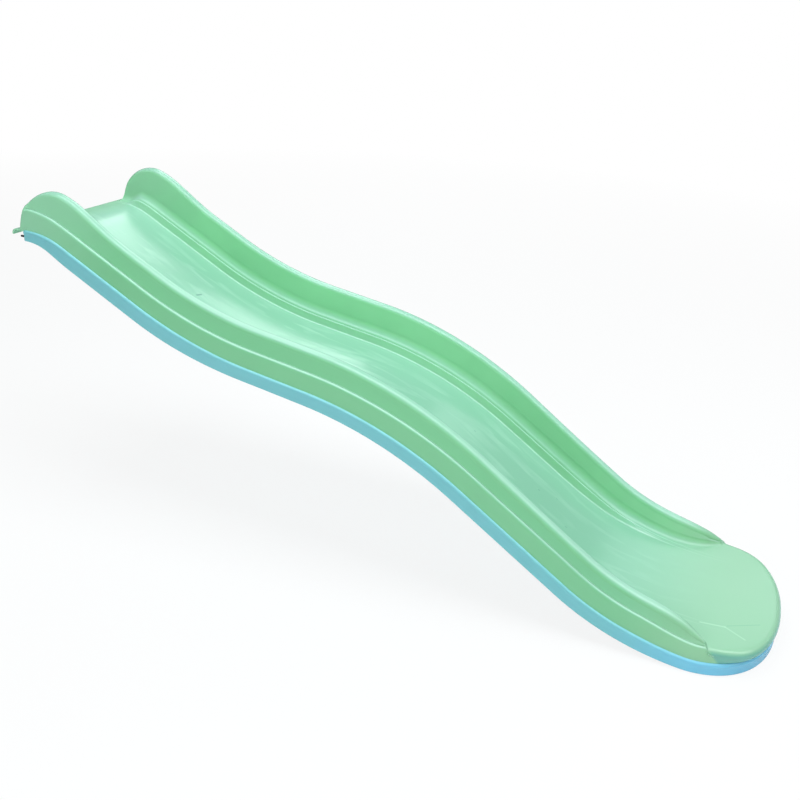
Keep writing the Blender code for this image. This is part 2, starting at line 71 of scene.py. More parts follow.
# %% The path of the lower edge
SLIDE_LENGTH = 2.244
BEND_RADII = {"entry": 0.190, "dip": 1.140, "crest": 1.035, "exit": 0.632}
RUNS = {"first drop": 0.290, "wave": 0.170, "second drop": 0.340, "landing": 0.166}
FIRST_SLOPE = math.radians(28.0)
WAVE_SLOPE = math.radians(9.0)
SECOND_SLOPE = math.radians(34.0)


def path_legs():
    """(length, slope at its start, slope at its end) of each straight run and bend."""
    legs = [
        (BEND_RADII["entry"] * FIRST_SLOPE, 0.0, FIRST_SLOPE),
        (RUNS["first drop"], FIRST_SLOPE, FIRST_SLOPE),
        (BEND_RADII["dip"] * (FIRST_SLOPE - WAVE_SLOPE), FIRST_SLOPE, WAVE_SLOPE),
        (RUNS["wave"], WAVE_SLOPE, WAVE_SLOPE),
        (BEND_RADII["crest"] * (SECOND_SLOPE - WAVE_SLOPE), WAVE_SLOPE, SECOND_SLOPE),
        (RUNS["second drop"], SECOND_SLOPE, SECOND_SLOPE),
        (BEND_RADII["exit"] * SECOND_SLOPE, SECOND_SLOPE, 0.0),
        (RUNS["landing"], 0.0, 0.0),
    ]
    fit = SLIDE_LENGTH / sum(leg[0] for leg in legs)
    return [(length * fit, start, end) for length, start, end in legs]


LEGS = path_legs()


def path_point(s):
    """(x, z, slope) of the line at s, which runs level before its start and past its end."""
    x, z, left = min(s, 0.0), 0.0, max(s, 0.0)
    for length, start, end in LEGS:
        part = min(left, length)
        bend = (end - start) / length
        slope = start + bend * part
        if abs(bend) < 1e-9:
            x += part * math.cos(start)
            z -= part * math.sin(start)
        else:
            x += (math.sin(slope) - math.sin(start)) / bend
            z += (math.cos(slope) - math.cos(start)) / bend
        left -= part
        if left <= 0.0:
            return x, z, slope
    return x + left, z, slope


print("tip of the path:", [round(v, 4) for v in path_point(SLIDE_LENGTH)])

# %% [markdown]
# A curve object carries that line into Blender, where node trees can measure along it. It
# starts a little uphill of the slide, because the lip reaches back over the deck.

# %% The path as a curve
LEAD_IN = 0.060
LEAD_OUT = 0.020
PATH_STEP = 0.003
LIP_REACH = 0.046
LIP_RADIUS = 0.016
FLOOR_HEIGHT = 0.030
TROUGH_SKIN = 0.0045
SEAT_MIDDLE = (LIP_REACH - LIP_RADIUS) / -2.0
SEAT_HEIGHT = FLOOR_HEIGHT - TROUGH_SKIN


def path_curve():
    """A curve object along the path, whose length at any point is LEAD_IN + s."""
    count = math.ceil((LEAD_IN + SLIDE_LENGTH + LEAD_OUT) / PATH_STEP)
    curve = bpy.data.curves.new("slide_path", "CURVE")
    curve.dimensions = "3D"
    spline = curve.splines.new("POLY")
    spline.points.add(count)
    for number, point in enumerate(spline.points):
        x, z, _ = path_point(number * PATH_STEP - LEAD_IN)
        point.co = (x - SEAT_MIDDLE, 0.0, z - SEAT_HEIGHT, 1.0)
    line = bpy.data.objects.new("slide_path", curve)
    bpy.context.scene.collection.objects.link(line)
    return line


slide_path = path_curve()
print("points on the path:", len(slide_path.data.splines[0].points))

# %% [markdown]
# ## Node trees
#
# Both the shapes and the finishes are built from nodes. One small function adds a node,
# fills in its values and joins it to the nodes before it. A colour is written as the
# hexadecimal number that a paint program shows, and turned to the linear light values
# that a renderer adds and multiplies.

# %% Helpers for nodes and colours
def add(tree, kind, links=None, values=None, **settings):
    """A new node with its settings, its socket values and the links that feed it."""
    node = tree.nodes.new(kind)
    for name, value in settings.items():
        setattr(node, name, value)
    for socket, value in (values or {}).items():
        node.inputs[socket].default_value = value
    for socket, source in (links or {}).items():
        tree.links.new(source, node.inputs[socket])
    return node


def linear(hex_colour):
    """The linear RGBA of an sRGB colour such as 0x7FCB92."""
    shares = [(hex_colour >> shift & 255) / 255.0 for shift in (16, 8, 0)]
    light = [c / 12.92 if c <= 0.04045 else ((c + 0.055) / 1.055) ** 2.4 for c in shares]
    return (*light, 1.0)


def mix(first, second, share):
    """The value that lies this share of the way from the first to the second."""
    return first + (second - first) * share


def ease(value, start, end):
    """0 before start, 1 after end and a smooth S between them."""
    share = min(1.0, max(0.0, (value - start) / (end - start)))
    return share * share * (3.0 - 2.0 * share)


print("mid grey in linear light:", [round(c, 3) for c in linear(0x808080)])

# %% [markdown]
# ## Bending a flat moulding along the path
#
# The real mouldings come out of a mould that was cut along a curve. Here each one is first
# made straight, as a sheet whose corners hold (s, y, h), which keeps its rules simple. A
# Geometry Nodes tree then lays the sheet along the path. It also stores two attributes on
# each corner: its flat place, so that a finish can run along the slide like real wear, and
# the direction square to the path there, so that other parts can stand upright on it.

# %% The tree that bends a moulding
def new_tree(name, result, **inputs):
    """A Geometry Nodes tree with one result, and an input of the kind given for each name."""
    tree = bpy.data.node_groups.new(name, "GeometryNodeTree")
    for label, kind in inputs.items():
        tree.interface.new_socket(label.replace("_", " "), in_out="INPUT",
                                  socket_type="NodeSocket" + kind)
    tree.interface.new_socket(result, in_out="OUTPUT", socket_type="NodeSocketGeometry")
    return tree


def bend_tree():
    tree = new_tree("bend_along_path", "Moulding", Flat_moulding="Geometry", Path="Object",
                    Lead_in="Float", Finish="Material")
    given = add(tree, "NodeGroupInput").outputs
    flat = add(tree, "GeometryNodeInputPosition").outputs[0]
    parts = add(tree, "ShaderNodeSeparateXYZ", {0: flat}).outputs
    stored = add(tree, "GeometryNodeStoreNamedAttribute",
                 {"Geometry": given["Flat moulding"], "Value": flat},
                 {"Name": "flat_place"}, data_type="FLOAT_VECTOR", domain="POINT")
    line = add(tree, "GeometryNodeObjectInfo", {"Object": given["Path"]},
               transform_space="RELATIVE")
    length = add(tree, "ShaderNodeMath", {0: parts["X"], 1: given["Lead in"]}, operation="ADD")
    at = add(tree, "GeometryNodeSampleCurve",
             {"Curves": line.outputs["Geometry"], "Length": length.outputs[0]},
             mode="LENGTH", use_all_curves=True)
    square = add(tree, "ShaderNodeVectorMath", {0: at.outputs["Tangent"]},
                 {1: (0.0, 1.0, 0.0)}, operation="CROSS_PRODUCT")
    raised = add(tree, "ShaderNodeVectorMath",
                 {0: square.outputs[0], "Scale": parts["Z"]}, operation="SCALE")
    upright = add(tree, "GeometryNodeStoreNamedAttribute",
                  {"Geometry": stored.outputs[0], "Value": square.outputs[0]},
                  {"Name": "square_to_path"}, data_type="FLOAT_VECTOR", domain="POINT")
    across = add(tree, "ShaderNodeCombineXYZ", {"Y": parts["Y"]})
    foot = add(tree, "ShaderNodeVectorMath",
               {0: at.outputs["Position"], 1: across.outputs[0]}, operation="ADD")
    place = add(tree, "ShaderNodeVectorMath",
                {0: foot.outputs[0], 1: raised.outputs[0]}, operation="ADD")
    bent = add(tree, "GeometryNodeSetPosition",
               {"Geometry": upright.outputs[0], "Position": place.outputs[0]})
    real = add(tree, "GeometryNodeRealizeInstances", {0: bent.outputs[0]})
    made = add(tree, "GeometryNodeSetMaterial",
               {"Geometry": real.outputs[0], "Material": given["Finish"]})
    add(tree, "NodeGroupOutput", {0: made.outputs[0]})
    return tree


BEND = bend_tree()
print("bend tree:", len(BEND.nodes), "nodes")

# %% [markdown]
# A tree does its work through a modifier. Its inputs are set by the identifier of each
# socket, and the result is then kept as a plain mesh, which is what the frame expects.

# %% Applying a tree
def keep(holder):
    """Applies every modifier of a piece, so that its mesh is what shows."""
    graph = bpy.context.evaluated_depsgraph_get()
    mesh = bpy.data.meshes.new_from_object(holder.evaluated_get(graph))
    holder.modifiers.clear()
    holder.data = mesh
    return holder


def run_tree(holder, tree, **inputs):
    """Runs the tree on the object and keeps the result as its plain mesh."""
    modifier = holder.modifiers.new(tree.name, "NODES")
    modifier.node_group = tree
    wanted = {name.replace("_", " "): value for name, value in inputs.items()}
    for socket in tree.interface.items_tree:
        if socket.in_out == "INPUT" and socket.name in wanted:
            modifier[socket.identifier] = wanted[socket.name]
    return keep(holder)


def new_piece(name, mesh):
    piece = bpy.data.objects.new(name, mesh)
    bpy.context.scene.collection.objects.link(piece)
    return piece


print("sockets of the bend tree:", [socket.name for socket in BEND.interface.items_tree])

# %% [markdown]
# ## The plastic
#
# Playground mouldings are made of linear polyethylene powder that melts against a polished
# mould. The skin is glossy but never quite flat: it has a slow orange-peel wave a few
# millimetres across. The plastic is slightly waxy, so light goes a few millimetres in.
# Faces that look up get a paler colour, partly sun bleach and partly a painted sheen of the light
# above. Clothes leave faint scuffs along the floor. The outside of the walls is a darker copy of
# the green, which is painted shade, while the inside keeps the brighter green. The landing end is
# a little paler.

# %% Colours of the plastic
POLYETHYLENE_IOR = 1.51
LEAF_GREEN = 0x93DDA8
LEAF_GREEN_DEEP = 0x8BD5A0
# A darker green for the outside of the walls, which is painted shade
LEAF_GREEN_SHADED_OUTSIDE = 0x80CA98
# A paler green for what faces up: partly sun bleach, partly painted sheen
LEAF_GREEN_BLEACH_AND_SHEEN = 0x93D0B2
# The colour towards the landing end, a little paler
LEAF_GREEN_LANDING_END = 0xA8D4AE
# A pale green for scuffs, and for painted highlights on the rim, ledge, step edges and top end
LEAF_GREEN_SCUFF_AND_HIGHLIGHT = 0xCAF8E4
# A darker teal for the steep side of the landing, which is painted shade
LEAF_GREEN_PAD_SIDE_SHADE = 0x74B8A6
SKY_BLUE = 0x78C5CC
SKY_BLUE_DEEP = 0x6EBBC4
# The base gets no painted shade outside: this is the plain blue
SKY_BLUE_SHADED_OUTSIDE = 0x78C5CC
# A paler blue for what faces up, such as the bead: partly sun bleach, partly painted highlight
SKY_BLUE_BLEACH_AND_SHEEN = 0x9CE6F0
# The colour towards the nose end, a brighter blue
SKY_BLUE_NOSE_END = 0x7ACCFC
print("leaf green in linear light:", [round(c, 3) for c in linear(LEAF_GREEN)])

# %% [markdown]
# Over the plain colour lie several layers. Each one is a share from 0 to 1, worked out from
# where a point lies on the flat moulding and from how far it faces up, and the colour that
# shows where the share is 1. The first layers are painted shade on the outside of the walls
# and a paler colour on what faces up, partly sun bleach and partly painted sheen.

# %% Painted shade outside and painted sheen on top
# A change of colour is spread over this distance to either side of its edge
SOFT_EDGE = 0.004
OUTSIDE = 0.212
FACING_UP = {"From Min": 0.35, "From Max": 0.80, "To Max": 0.95}
LIP_FADE = {"From Min": 0.0, "From Max": 0.045, "To Min": 0.25}
PAD_SLANT = 0.84
PAD_SIDE = 2.1480
STEEP_FACE = {"From Min": 0.85, "From Max": 0.40}


def outside_painted_shade(tree, side):
    """Painted shade: the outside of the walls is a darker copy of the plain colour."""
    return add(tree, "ShaderNodeMapRange", {"Value": side},
               {"From Min": OUTSIDE - SOFT_EDGE, "From Max": OUTSIDE + SOFT_EDGE}).outputs[0]


def bleach_and_painted_sheen(tree, along, upward):
    """A paler colour on what looks up, partly sun bleach and partly painted sheen, weaker over the
    lip.
    """
    facing_up_share = add(tree, "ShaderNodeMapRange", {"Value": upward}, FACING_UP)
    off_lip = add(tree, "ShaderNodeMapRange", {"Value": along}, LIP_FADE)
    return add(tree, "ShaderNodeMath", {0: facing_up_share.outputs[0], 1: off_lip.outputs[0]},
               operation="MULTIPLY").outputs[0]


def landing_side_painted_shade(tree, place, upward):
    """Painted shade: the steep side of the landing, past the slanting crease, is a darker teal."""
    steep = add(tree, "ShaderNodeMapRange", {"Value": upward}, STEEP_FACE)
    slanted = add(tree, "ShaderNodeMath", {0: place["Z"], 2: place["X"]}, {1: PAD_SLANT},
                  operation="MULTIPLY_ADD")
    past = add(tree, "ShaderNodeMapRange", {"Value": slanted.outputs[0]},
               {"From Min": PAD_SIDE - SOFT_EDGE, "From Max": PAD_SIDE + SOFT_EDGE})
    return add(tree, "ShaderNodeMath", {0: steep.outputs[0], 1: past.outputs[0]},
               operation="MULTIPLY").outputs[0]


print("the side of the landing starts at s", PAD_SIDE)

# %% [markdown]
# Clothes leave pale scuffs in patches along the floor, which are partly wear and partly painted
# reflection streaks. The two edges of the step beside it get a painted highlight line. Nobody
# slides on as far as the nose, so both fade out towards the landing.

# %% Scuffs and painted highlights on the step
FLOOR_EDGE = 0.130
RUBBED_EDGE = 0.095
SCUFFED = {"From Min": 0.50, "From Max": 0.66, "To Max": 0.28}
# Distances from the middle of the slide of the two edges of the step
STEP_EDGES = (0.1357, 0.1487)
# Each gets a painted highlight along a line about three millimetres wide
EDGE_HIGHLIGHT = {"From Min": 0.0022, "From Max": 0.0006, "To Max": 0.42}


def scuffs_and_step_highlights(tree, side, streaks, clouded, towards):
    """The share of scuffs on the floor, partly painted reflection streaks, and of painted highlight
    lines on the edges of its step.
    """
    inside = add(tree, "ShaderNodeMapRange", {"Value": side},
                 {"From Min": FLOOR_EDGE, "From Max": RUBBED_EDGE})
    worn = add(tree, "ShaderNodeMapRange", {"Value": streaks}, SCUFFED)
    patchy = add(tree, "ShaderNodeMath", {0: worn.outputs[0], 1: clouded},
                 operation="MULTIPLY")
    scuffs_and_lines = add(tree, "ShaderNodeMath", {0: patchy.outputs[0], 1: inside.outputs[0]},
               operation="MULTIPLY")
    for edge in STEP_EDGES:
        off = add(tree, "ShaderNodeMath", {0: side}, {1: edge}, operation="SUBTRACT")
        away = add(tree, "ShaderNodeMath", {0: off.outputs[0]}, operation="ABSOLUTE")
        line = add(tree, "ShaderNodeMapRange", {"Value": away.outputs[0]}, EDGE_HIGHLIGHT)
        scuffs_and_lines = add(tree, "ShaderNodeMath", {0: scuffs_and_lines.outputs[0], 1: line.outputs[0]},
                   operation="MAXIMUM")
    still = add(tree, "ShaderNodeMath", {1: towards}, {0: 1.0}, operation="SUBTRACT")
    return add(tree, "ShaderNodeMath", {0: scuffs_and_lines.outputs[0], 1: still.outputs[0]},
               operation="MULTIPLY").outputs[0]


print("edges of the step:", STEP_EDGES)

# %% [markdown]
# The top of the rim, and everything at the top end by the lip, get a paler colour, which is a
# painted highlight. On the second drop the line on top of the rim is painted brightest, and the
# top of the ledge, which sticks out, gets a painted highlight as well.

# %% Painted highlights on the rim, ledge and lip
RIM_HIGHLIGHT_HEIGHT = 0.108
RIM_AND_LIP_HIGHLIGHT = 0.24
TOP_FACE = {"From Min": 0.60, "From Max": 0.85}
AT_LIP = {"From Min": 0.26, "From Max": 0.02}
SECOND_DROP_STRETCH = {"From Min": 1.15, "From Max": 1.40}
LEDGE_HIGHLIGHT_BAND = {"From Min": 0.2295, "From Max": 0.2315}
LINE_HIGHLIGHT = 0.45


def painted_highlights(tree, place, side, upward):
    """The share of painted highlight on the top end by the lip, on the rim's top and on the ledge's
    top.
    """
    high = add(tree, "ShaderNodeMapRange", {"Value": place["Z"]},
               {"From Min": RIM_HIGHLIGHT_HEIGHT - SOFT_EDGE, "From Max": RIM_HIGHLIGHT_HEIGHT + 2.0 * SOFT_EDGE})
    top = add(tree, "ShaderNodeMapRange", {"Value": upward}, TOP_FACE)
    rim = add(tree, "ShaderNodeMath", {0: high.outputs[0], 1: top.outputs[0]},
              operation="MULTIPLY")
    lip = add(tree, "ShaderNodeMapRange", {"Value": place["X"]}, AT_LIP)
    rim_or_lip = add(tree, "ShaderNodeMath", {0: rim.outputs[0], 1: lip.outputs[0]},
               operation="MAXIMUM")
    rim_lip_highlight = add(tree, "ShaderNodeMath", {0: rim_or_lip.outputs[0]}, {1: RIM_AND_LIP_HIGHLIGHT},
                 operation="MULTIPLY")
    lower = add(tree, "ShaderNodeMapRange", {"Value": place["X"]}, SECOND_DROP_STRETCH)
    lower_rim = add(tree, "ShaderNodeMath", {0: rim.outputs[0], 1: lower.outputs[0]},
                 operation="MULTIPLY")
    outermost = add(tree, "ShaderNodeMapRange", {"Value": side}, LEDGE_HIGHLIGHT_BAND)
    ledge = add(tree, "ShaderNodeMath", {0: outermost.outputs[0], 1: top.outputs[0]},
                operation="MULTIPLY")
    lines = add(tree, "ShaderNodeMath", {0: lower_rim.outputs[0], 1: ledge.outputs[0]},
                operation="MAXIMUM")
    bright = add(tree, "ShaderNodeMath", {0: lines.outputs[0]}, {1: LINE_HIGHLIGHT},
                 operation="MULTIPLY")
    return add(tree, "ShaderNodeMath", {0: rim_lip_highlight.outputs[0], 1: bright.outputs[0]},
               operation="MAXIMUM").outputs[0]


# The painted highlight on top of the rim lies above this height
print("hands polish what lies above", RIM_HIGHLIGHT_HEIGHT, "m")

# %% [markdown]
# Single marks are drawn by distance. For each one, the nodes find the nearest place on a
# short line between two points of the flat floor, and the colour of the mark fades out
# with the distance from it.

# %% A mark on the floor
MARK_CORE = 0.2


def draw_mark(tree, flat, colour, mark):
    """Adds one mark (start, end, half width, strength, hex colour) over a colour."""
    start, end, half_width, strength, dirt = mark
    line = Vector((*end, 0.0)) - Vector((*start, 0.0))
    away = add(tree, "ShaderNodeVectorMath", {0: flat}, {1: (*start, 0.0)},
               operation="SUBTRACT")
    level = add(tree, "ShaderNodeVectorMath", {0: away.outputs[0]}, {1: (1.0, 1.0, 0.0)},
                operation="MULTIPLY")
    along = add(tree, "ShaderNodeVectorMath", {0: level.outputs[0]}, {1: line.normalized()},
                operation="DOT_PRODUCT")
    near = add(tree, "ShaderNodeClamp", {"Value": along.outputs["Value"]},
               {"Min": 0.0, "Max": line.length})
    reached = add(tree, "ShaderNodeVectorMath", {"Scale": near.outputs[0]},
                  {0: line.normalized()}, operation="SCALE")
    gap = add(tree, "ShaderNodeVectorMath", {0: level.outputs[0], 1: reached.outputs[0]},
              operation="DISTANCE")
    spot = add(tree, "ShaderNodeMapRange", {"Value": gap.outputs["Value"]},
               {"From Min": half_width, "From Max": MARK_CORE * half_width, "To Max": strength})
    return add(tree, "ShaderNodeMix", {0: spot.outputs[0], 6: colour},
               {7: linear(dirt)}, data_type="RGBA").outputs[2]


print("a mark takes 8 nodes")

# %% [markdown]
# The plastic puts these together. Its own colour is clouded, where the powder lay thicker in
# the mould, and shifts towards the landing end. The gloss is uneven, because scuffs dull it
# a little, and a fine bump gives the orange peel.

# %% The plastic's nodes
# A little light scatters under the skin, which softens the edges as in wax
WAXY = {"Subsurface Weight": 0.10, "Subsurface Radius": (0.5, 1.0, 0.6),
        "Subsurface Scale": 0.003}
CLOUD_SIZE = 0.220
CLOUDING = {"From Min": 0.35, "From Max": 0.65}
END_SHIFT_START = 1.80
END_SHIFT_FULL = 2.15
END_SHIFT = 0.55
# Scuffs run down the slide: long along s and narrow across it
SCUFF_LENGTH = 0.160
SCUFF_WIDTH = 0.030
ROUGHNESS = {"From Min": 0.3, "From Max": 0.8, "To Min": 0.20, "To Max": 0.26}
PEEL_SIZE = 0.007
PEEL_BUMP = {"Strength": 0.20, "Distance": 0.0003}


def new_material(name):
    material = bpy.data.materials.new(name)
    material.use_nodes = True
    return material, material.node_tree


def polyethylene(name, plain, deep, dull, bleach_and_sheen, end, pad_side_shade=None, scuffs_and_highlights=None, marks=()):
    """Moulded polyethylene: glossy, waxy and clouded, with painted shade outside, a paler top that
    is partly sun bleach and partly painted sheen, scuffs and painted highlights.
    """
    material, tree = new_material(name)
    shader = tree.nodes["Principled BSDF"]
    for socket, value in {"IOR": POLYETHYLENE_IOR, **WAXY}.items():
        shader.inputs[socket].default_value = value
    flat = add(tree, "ShaderNodeAttribute", attribute_name="flat_place").outputs["Vector"]
    place = add(tree, "ShaderNodeSeparateXYZ", {0: flat}).outputs
    side = add(tree, "ShaderNodeMath", {0: place["Y"]}, operation="ABSOLUTE").outputs[0]
    here = add(tree, "ShaderNodeTexCoord").outputs["Object"]
    facing = add(tree, "ShaderNodeNewGeometry").outputs["Normal"]
    upward = add(tree, "ShaderNodeSeparateXYZ", {0: facing}).outputs["Z"]
    cloud = add(tree, "ShaderNodeTexNoise", {"Vector": here},
                {"Scale": 1.0 / CLOUD_SIZE, "Detail": 3.0, "Roughness": 0.5})
    clouded = add(tree, "ShaderNodeMapRange", {"Value": cloud.outputs["Fac"]},
                  CLOUDING).outputs[0]
    towards = add(tree, "ShaderNodeMapRange", {"Value": place["X"]},
                  {"From Min": END_SHIFT_START, "From Max": END_SHIFT_FULL},
                  interpolation_type="SMOOTHSTEP").outputs[0]
    shifted = add(tree, "ShaderNodeMath", {0: towards}, {1: END_SHIFT}, operation="MULTIPLY")
    stretch = add(tree, "ShaderNodeVectorMath", {0: flat},
                  {1: (1.0 / SCUFF_LENGTH, 1.0 / SCUFF_WIDTH, 0.0)}, operation="MULTIPLY")
    streaks = add(tree, "ShaderNodeTexNoise", {"Vector": stretch.outputs[0]},
                  {"Scale": 1.0, "Detail": 2.5, "Roughness": 0.5, "Distortion": 0.6}).outputs["Fac"]
    # Each layer is a share and the colour that shows where it is 1
    # The first layer is painted shade on the outer walls
    layers = [(outside_painted_shade(tree, side), dull),
              # A paler top: partly sun bleach, partly painted sheen
              (bleach_and_painted_sheen(tree, place["X"], upward), bleach_and_sheen),
              (shifted.outputs[0], end)]
    # Painted shade on the steep side of the landing
    if pad_side_shade:
        layers.append((landing_side_painted_shade(tree, place, upward), pad_side_shade))
    # Scuffs, partly painted reflection streaks, and painted highlights on the step, rim, ledge and
    # top end
    if scuffs_and_highlights:
        layers.append((scuffs_and_step_highlights(tree, side, streaks, clouded, towards), scuffs_and_highlights))
        layers.append((painted_highlights(tree, place, side, upward), scuffs_and_highlights))
    colour = add(tree, "ShaderNodeMix", {0: clouded}, {6: linear(plain), 7: linear(deep)},
                 data_type="RGBA").outputs[2]
    for share, shown in layers:
        colour = add(tree, "ShaderNodeMix", {0: share, 6: colour}, {7: linear(shown)},
                     data_type="RGBA").outputs[2]
    for mark in marks:
        colour = draw_mark(tree, flat, colour, mark)
    tree.links.new(colour, shader.inputs["Base Color"])
    gloss = add(tree, "ShaderNodeMapRange", {"Value": streaks}, ROUGHNESS)
    tree.links.new(gloss.outputs[0], shader.inputs["Roughness"])
    peel = add(tree, "ShaderNodeTexNoise", {"Vector": here},
               {"Scale": 1.0 / PEEL_SIZE, "Detail": 2.0, "Roughness": 0.4})
    waves = add(tree, "ShaderNodeBump", {"Height": peel.outputs["Fac"]}, PEEL_BUMP)
    tree.links.new(waves.outputs[0], shader.inputs["Normal"])
    return material


print("roughness from", ROUGHNESS["To Min"], "to", ROUGHNESS["To Max"])

# %% [markdown]
# The marks on the floor are listed as (start, end, half width, strength, colour), with
# start and end as (s, y). There is one dark scuff near the top, a few small spots on the
# second drop, and a scratch and a few faint creases on the landing.

# %% The two plastics
SCUFF_GREY = 0x5E9C84
SPOT_GREEN = 0x6DAE93
SCRATCH_GREEN = 0x7CBF97
CREASE_LIGHT = 0xC9F5DC
FLOOR_MARKS = [
    ((0.4290, -0.0365), (0.4340, -0.0225), 0.0042, 0.75, SCUFF_GREY),
    ((1.3130, 0.0135), (1.3156, 0.0135), 0.0030, 0.45, SPOT_GREEN),
    ((1.5423, 0.0070), (1.5449, 0.0070), 0.0030, 0.50, SPOT_GREEN),
    ((1.5972, 0.0338), (1.6004, 0.0338), 0.0026, 0.40, SPOT_GREEN),
    ((1.6520, -0.0410), (1.6550, -0.0410), 0.0030, 0.45, SPOT_GREEN),
    ((2.1260, -0.1266), (2.1982, -0.0875), 0.0018, 0.45, SCRATCH_GREEN),
    ((2.0639, -0.1409), (2.1219, -0.1324), 0.0030, 0.40, CREASE_LIGHT),
    ((2.1219, -0.1324), (2.1682, -0.1583), 0.0030, 0.35, CREASE_LIGHT),
]
green_plastic = polyethylene("green_moulded_polyethylene", LEAF_GREEN, LEAF_GREEN_DEEP,
                             LEAF_GREEN_SHADED_OUTSIDE, LEAF_GREEN_BLEACH_AND_SHEEN, LEAF_GREEN_LANDING_END,
                             LEAF_GREEN_PAD_SIDE_SHADE, LEAF_GREEN_SCUFF_AND_HIGHLIGHT, FLOOR_MARKS)
blue_plastic = polyethylene("blue_moulded_polyethylene", SKY_BLUE, SKY_BLUE_DEEP,
                            SKY_BLUE_SHADED_OUTSIDE, SKY_BLUE_BLEACH_AND_SHEEN, SKY_BLUE_NOSE_END)
print("plastics:", green_plastic.name, "and", blue_plastic.name)

# %% [markdown]
# ## The trough moulding
#
# Seen end-on, half of the trough is one line: up the outer wall, over a stepped ledge and
# the fat rolled rim, down the inner wall, round a wide fillet and down a small step to the
# floor. It is described as inset, the distance inwards from the widest line, and height.
# The ledge stiffens the wall, and the rolled rim is what hands hold.

# %% Sizes of the trough
BODY_WIDTH = 0.500
NOSE_LENGTH = 0.213
NOSE_FULLNESS = 2.31
NOSE_START = SLIDE_LENGTH - NOSE_LENGTH
BASE_SKIN = 0.0040
LAP_GAP = 0.0020
BEAD_GAP = 0.0005
BASE_HEIGHT = 0.0385
BASE_NOSE_HEIGHT = 0.033
SKIRT_LAP = 0.0085
LANDING_HEIGHT = 0.066
STEP_HEIGHT = 0.0175
LEDGE_HEIGHT = 0.087
LEDGE_END_HEIGHT = 0.0705
RIM_HEIGHT = 0.133
LOWER_RIM_HEIGHT = 0.117
HUMP_HEIGHT = 0.149
LEDGE_WIDTH = 0.0085
LOWER_PANEL_DRAFT = 0.0045
RIM_WIDTH = 0.032
RIM_ROUND = 0.015
RIM_MIDDLE = 0.0515
FOOT_INSET = 0.080
FOOT_LIFT = 0.001
FILLET_RADIUS = 0.030
END_FILLET_RADIUS = 0.022
TIP_FILLET_RADIUS = 0.012
RIM_TIP_HEIGHT = 0.0735
RIM_OUTER_SHIFT = 0.0155
RIM_INNER_SHIFT = 0.0415
FOOT_SHIFT = 0.052
PAD_SIDE_INSET = 0.0095
PAD_CORNER_INSET = -0.006
PAD_TIP_INSET = -0.002
PAD_EDGE_ROUND = 0.016
print("the trough is", SLIDE_LENGTH, "m long and", BODY_WIDTH, "m wide")

# %% [markdown]
# Several of these change along the slide. The wall is tallest at the hand hump by the lip,
# loses a little height on the wave and sinks into the landing at the end.

# %% What changes along the slide
WALL_OVERHANG = 0.015
HUMP_PEAK = 0.065
HUMP_TAIL = 0.260
HUMP_FULLNESS = 1.8
WALL_FALL_START = SLIDE_LENGTH - 0.344
WALL_FALL_END = SLIDE_LENGTH - 0.154
WALL_SINK_START = SLIDE_LENGTH - 0.374
WALL_SINK_END = SLIDE_LENGTH - 0.149
WALL_SINK_POWER = 3.2
LANDING_RAMP_START = SLIDE_LENGTH - 0.654
LANDING_RAMP_END = SLIDE_LENGTH - 0.209
PAD_CORNER = SLIDE_LENGTH - 0.054
CREASE = 2.094
CREASE_SLANT = 0.84
CREASE_HALF_WIDTH = 0.005
STEP_START = 0.010
STEP_FULL = 0.050
SEAM_RISE_END = 0.120
SKIRT_START = 1.5 * BASE_SKIN
SKIRT_FULL = 0.050


def floor_height(s):
    return mix(FLOOR_HEIGHT, LANDING_HEIGHT, ease(s, LANDING_RAMP_START, LANDING_RAMP_END))


def step_share(s):
    """1 where the step beside the floor is full, and 0 past both its ends."""
    return ease(s, STEP_START, STEP_FULL) * (1.0 - ease(s, LANDING_RAMP_START, LANDING_RAMP_END))


def landing_share(s):
    return ease(s, WALL_FALL_START, WALL_FALL_END)


def seam_height(s):
    rising = mix(FLOOR_HEIGHT, BASE_HEIGHT, ease(s, 0.0, SEAM_RISE_END))
    return mix(rising, BASE_NOSE_HEIGHT, landing_share(s))


def skirt_bottom(s):
    return seam_height(s) - SKIRT_LAP * ease(s, SKIRT_START, SKIRT_FULL)


def wall_share(s):
    """1 where the wall stands at its full height and 0 where it has sunk into the landing."""
    share = (s - WALL_SINK_START) / (WALL_SINK_END - WALL_SINK_START)
    return 1.0 - min(1.0, max(0.0, share)) ** WALL_SINK_POWER


def crease_share(s, height):
    """0 uphill of the slanting crease beside the landing and 1 past it."""
    at = CREASE + CREASE_SLANT * (LEDGE_END_HEIGHT - height)
    return ease(s, at - CREASE_HALF_WIDTH, at + CREASE_HALF_WIDTH)


def rim_height(s):
    high = mix(HUMP_HEIGHT, RIM_HEIGHT, ease(s, HUMP_PEAK, HUMP_TAIL))
    crest_start = sum(leg[0] for leg in LEGS[:4])
    crest_end = crest_start + LEGS[4][0] + LEGS[5][0]
    full = mix(high, LOWER_RIM_HEIGHT, ease(s, crest_start, crest_end))
    if s < HUMP_PEAK:
        share = min(1.0, (HUMP_PEAK - s) / (HUMP_PEAK + WALL_OVERHANG))
        rise = (1.0 - share**HUMP_FULLNESS) ** (1.0 / HUMP_FULLNESS)
        return mix(FLOOR_HEIGHT, HUMP_HEIGHT, rise)
    sunk = mix(RIM_TIP_HEIGHT, full, wall_share(s))
    return mix(sunk, floor_height(s), crease_share(s, RIM_TIP_HEIGHT))


for s in (0.0, 0.5, 1.0, 1.5, 2.0):
    print(f"s {s:.1f} m: rim {rim_height(s) * 1000:.0f} mm, floor {floor_height(s) * 1000:.0f} mm")

# %% [markdown]
# The corners of the section are real rounds. A hard mould edge would catch no light, and
# it is the thin bright line along each round that makes the plastic look moulded.

# %% Rounded corners
ROUND_POINTS = 6


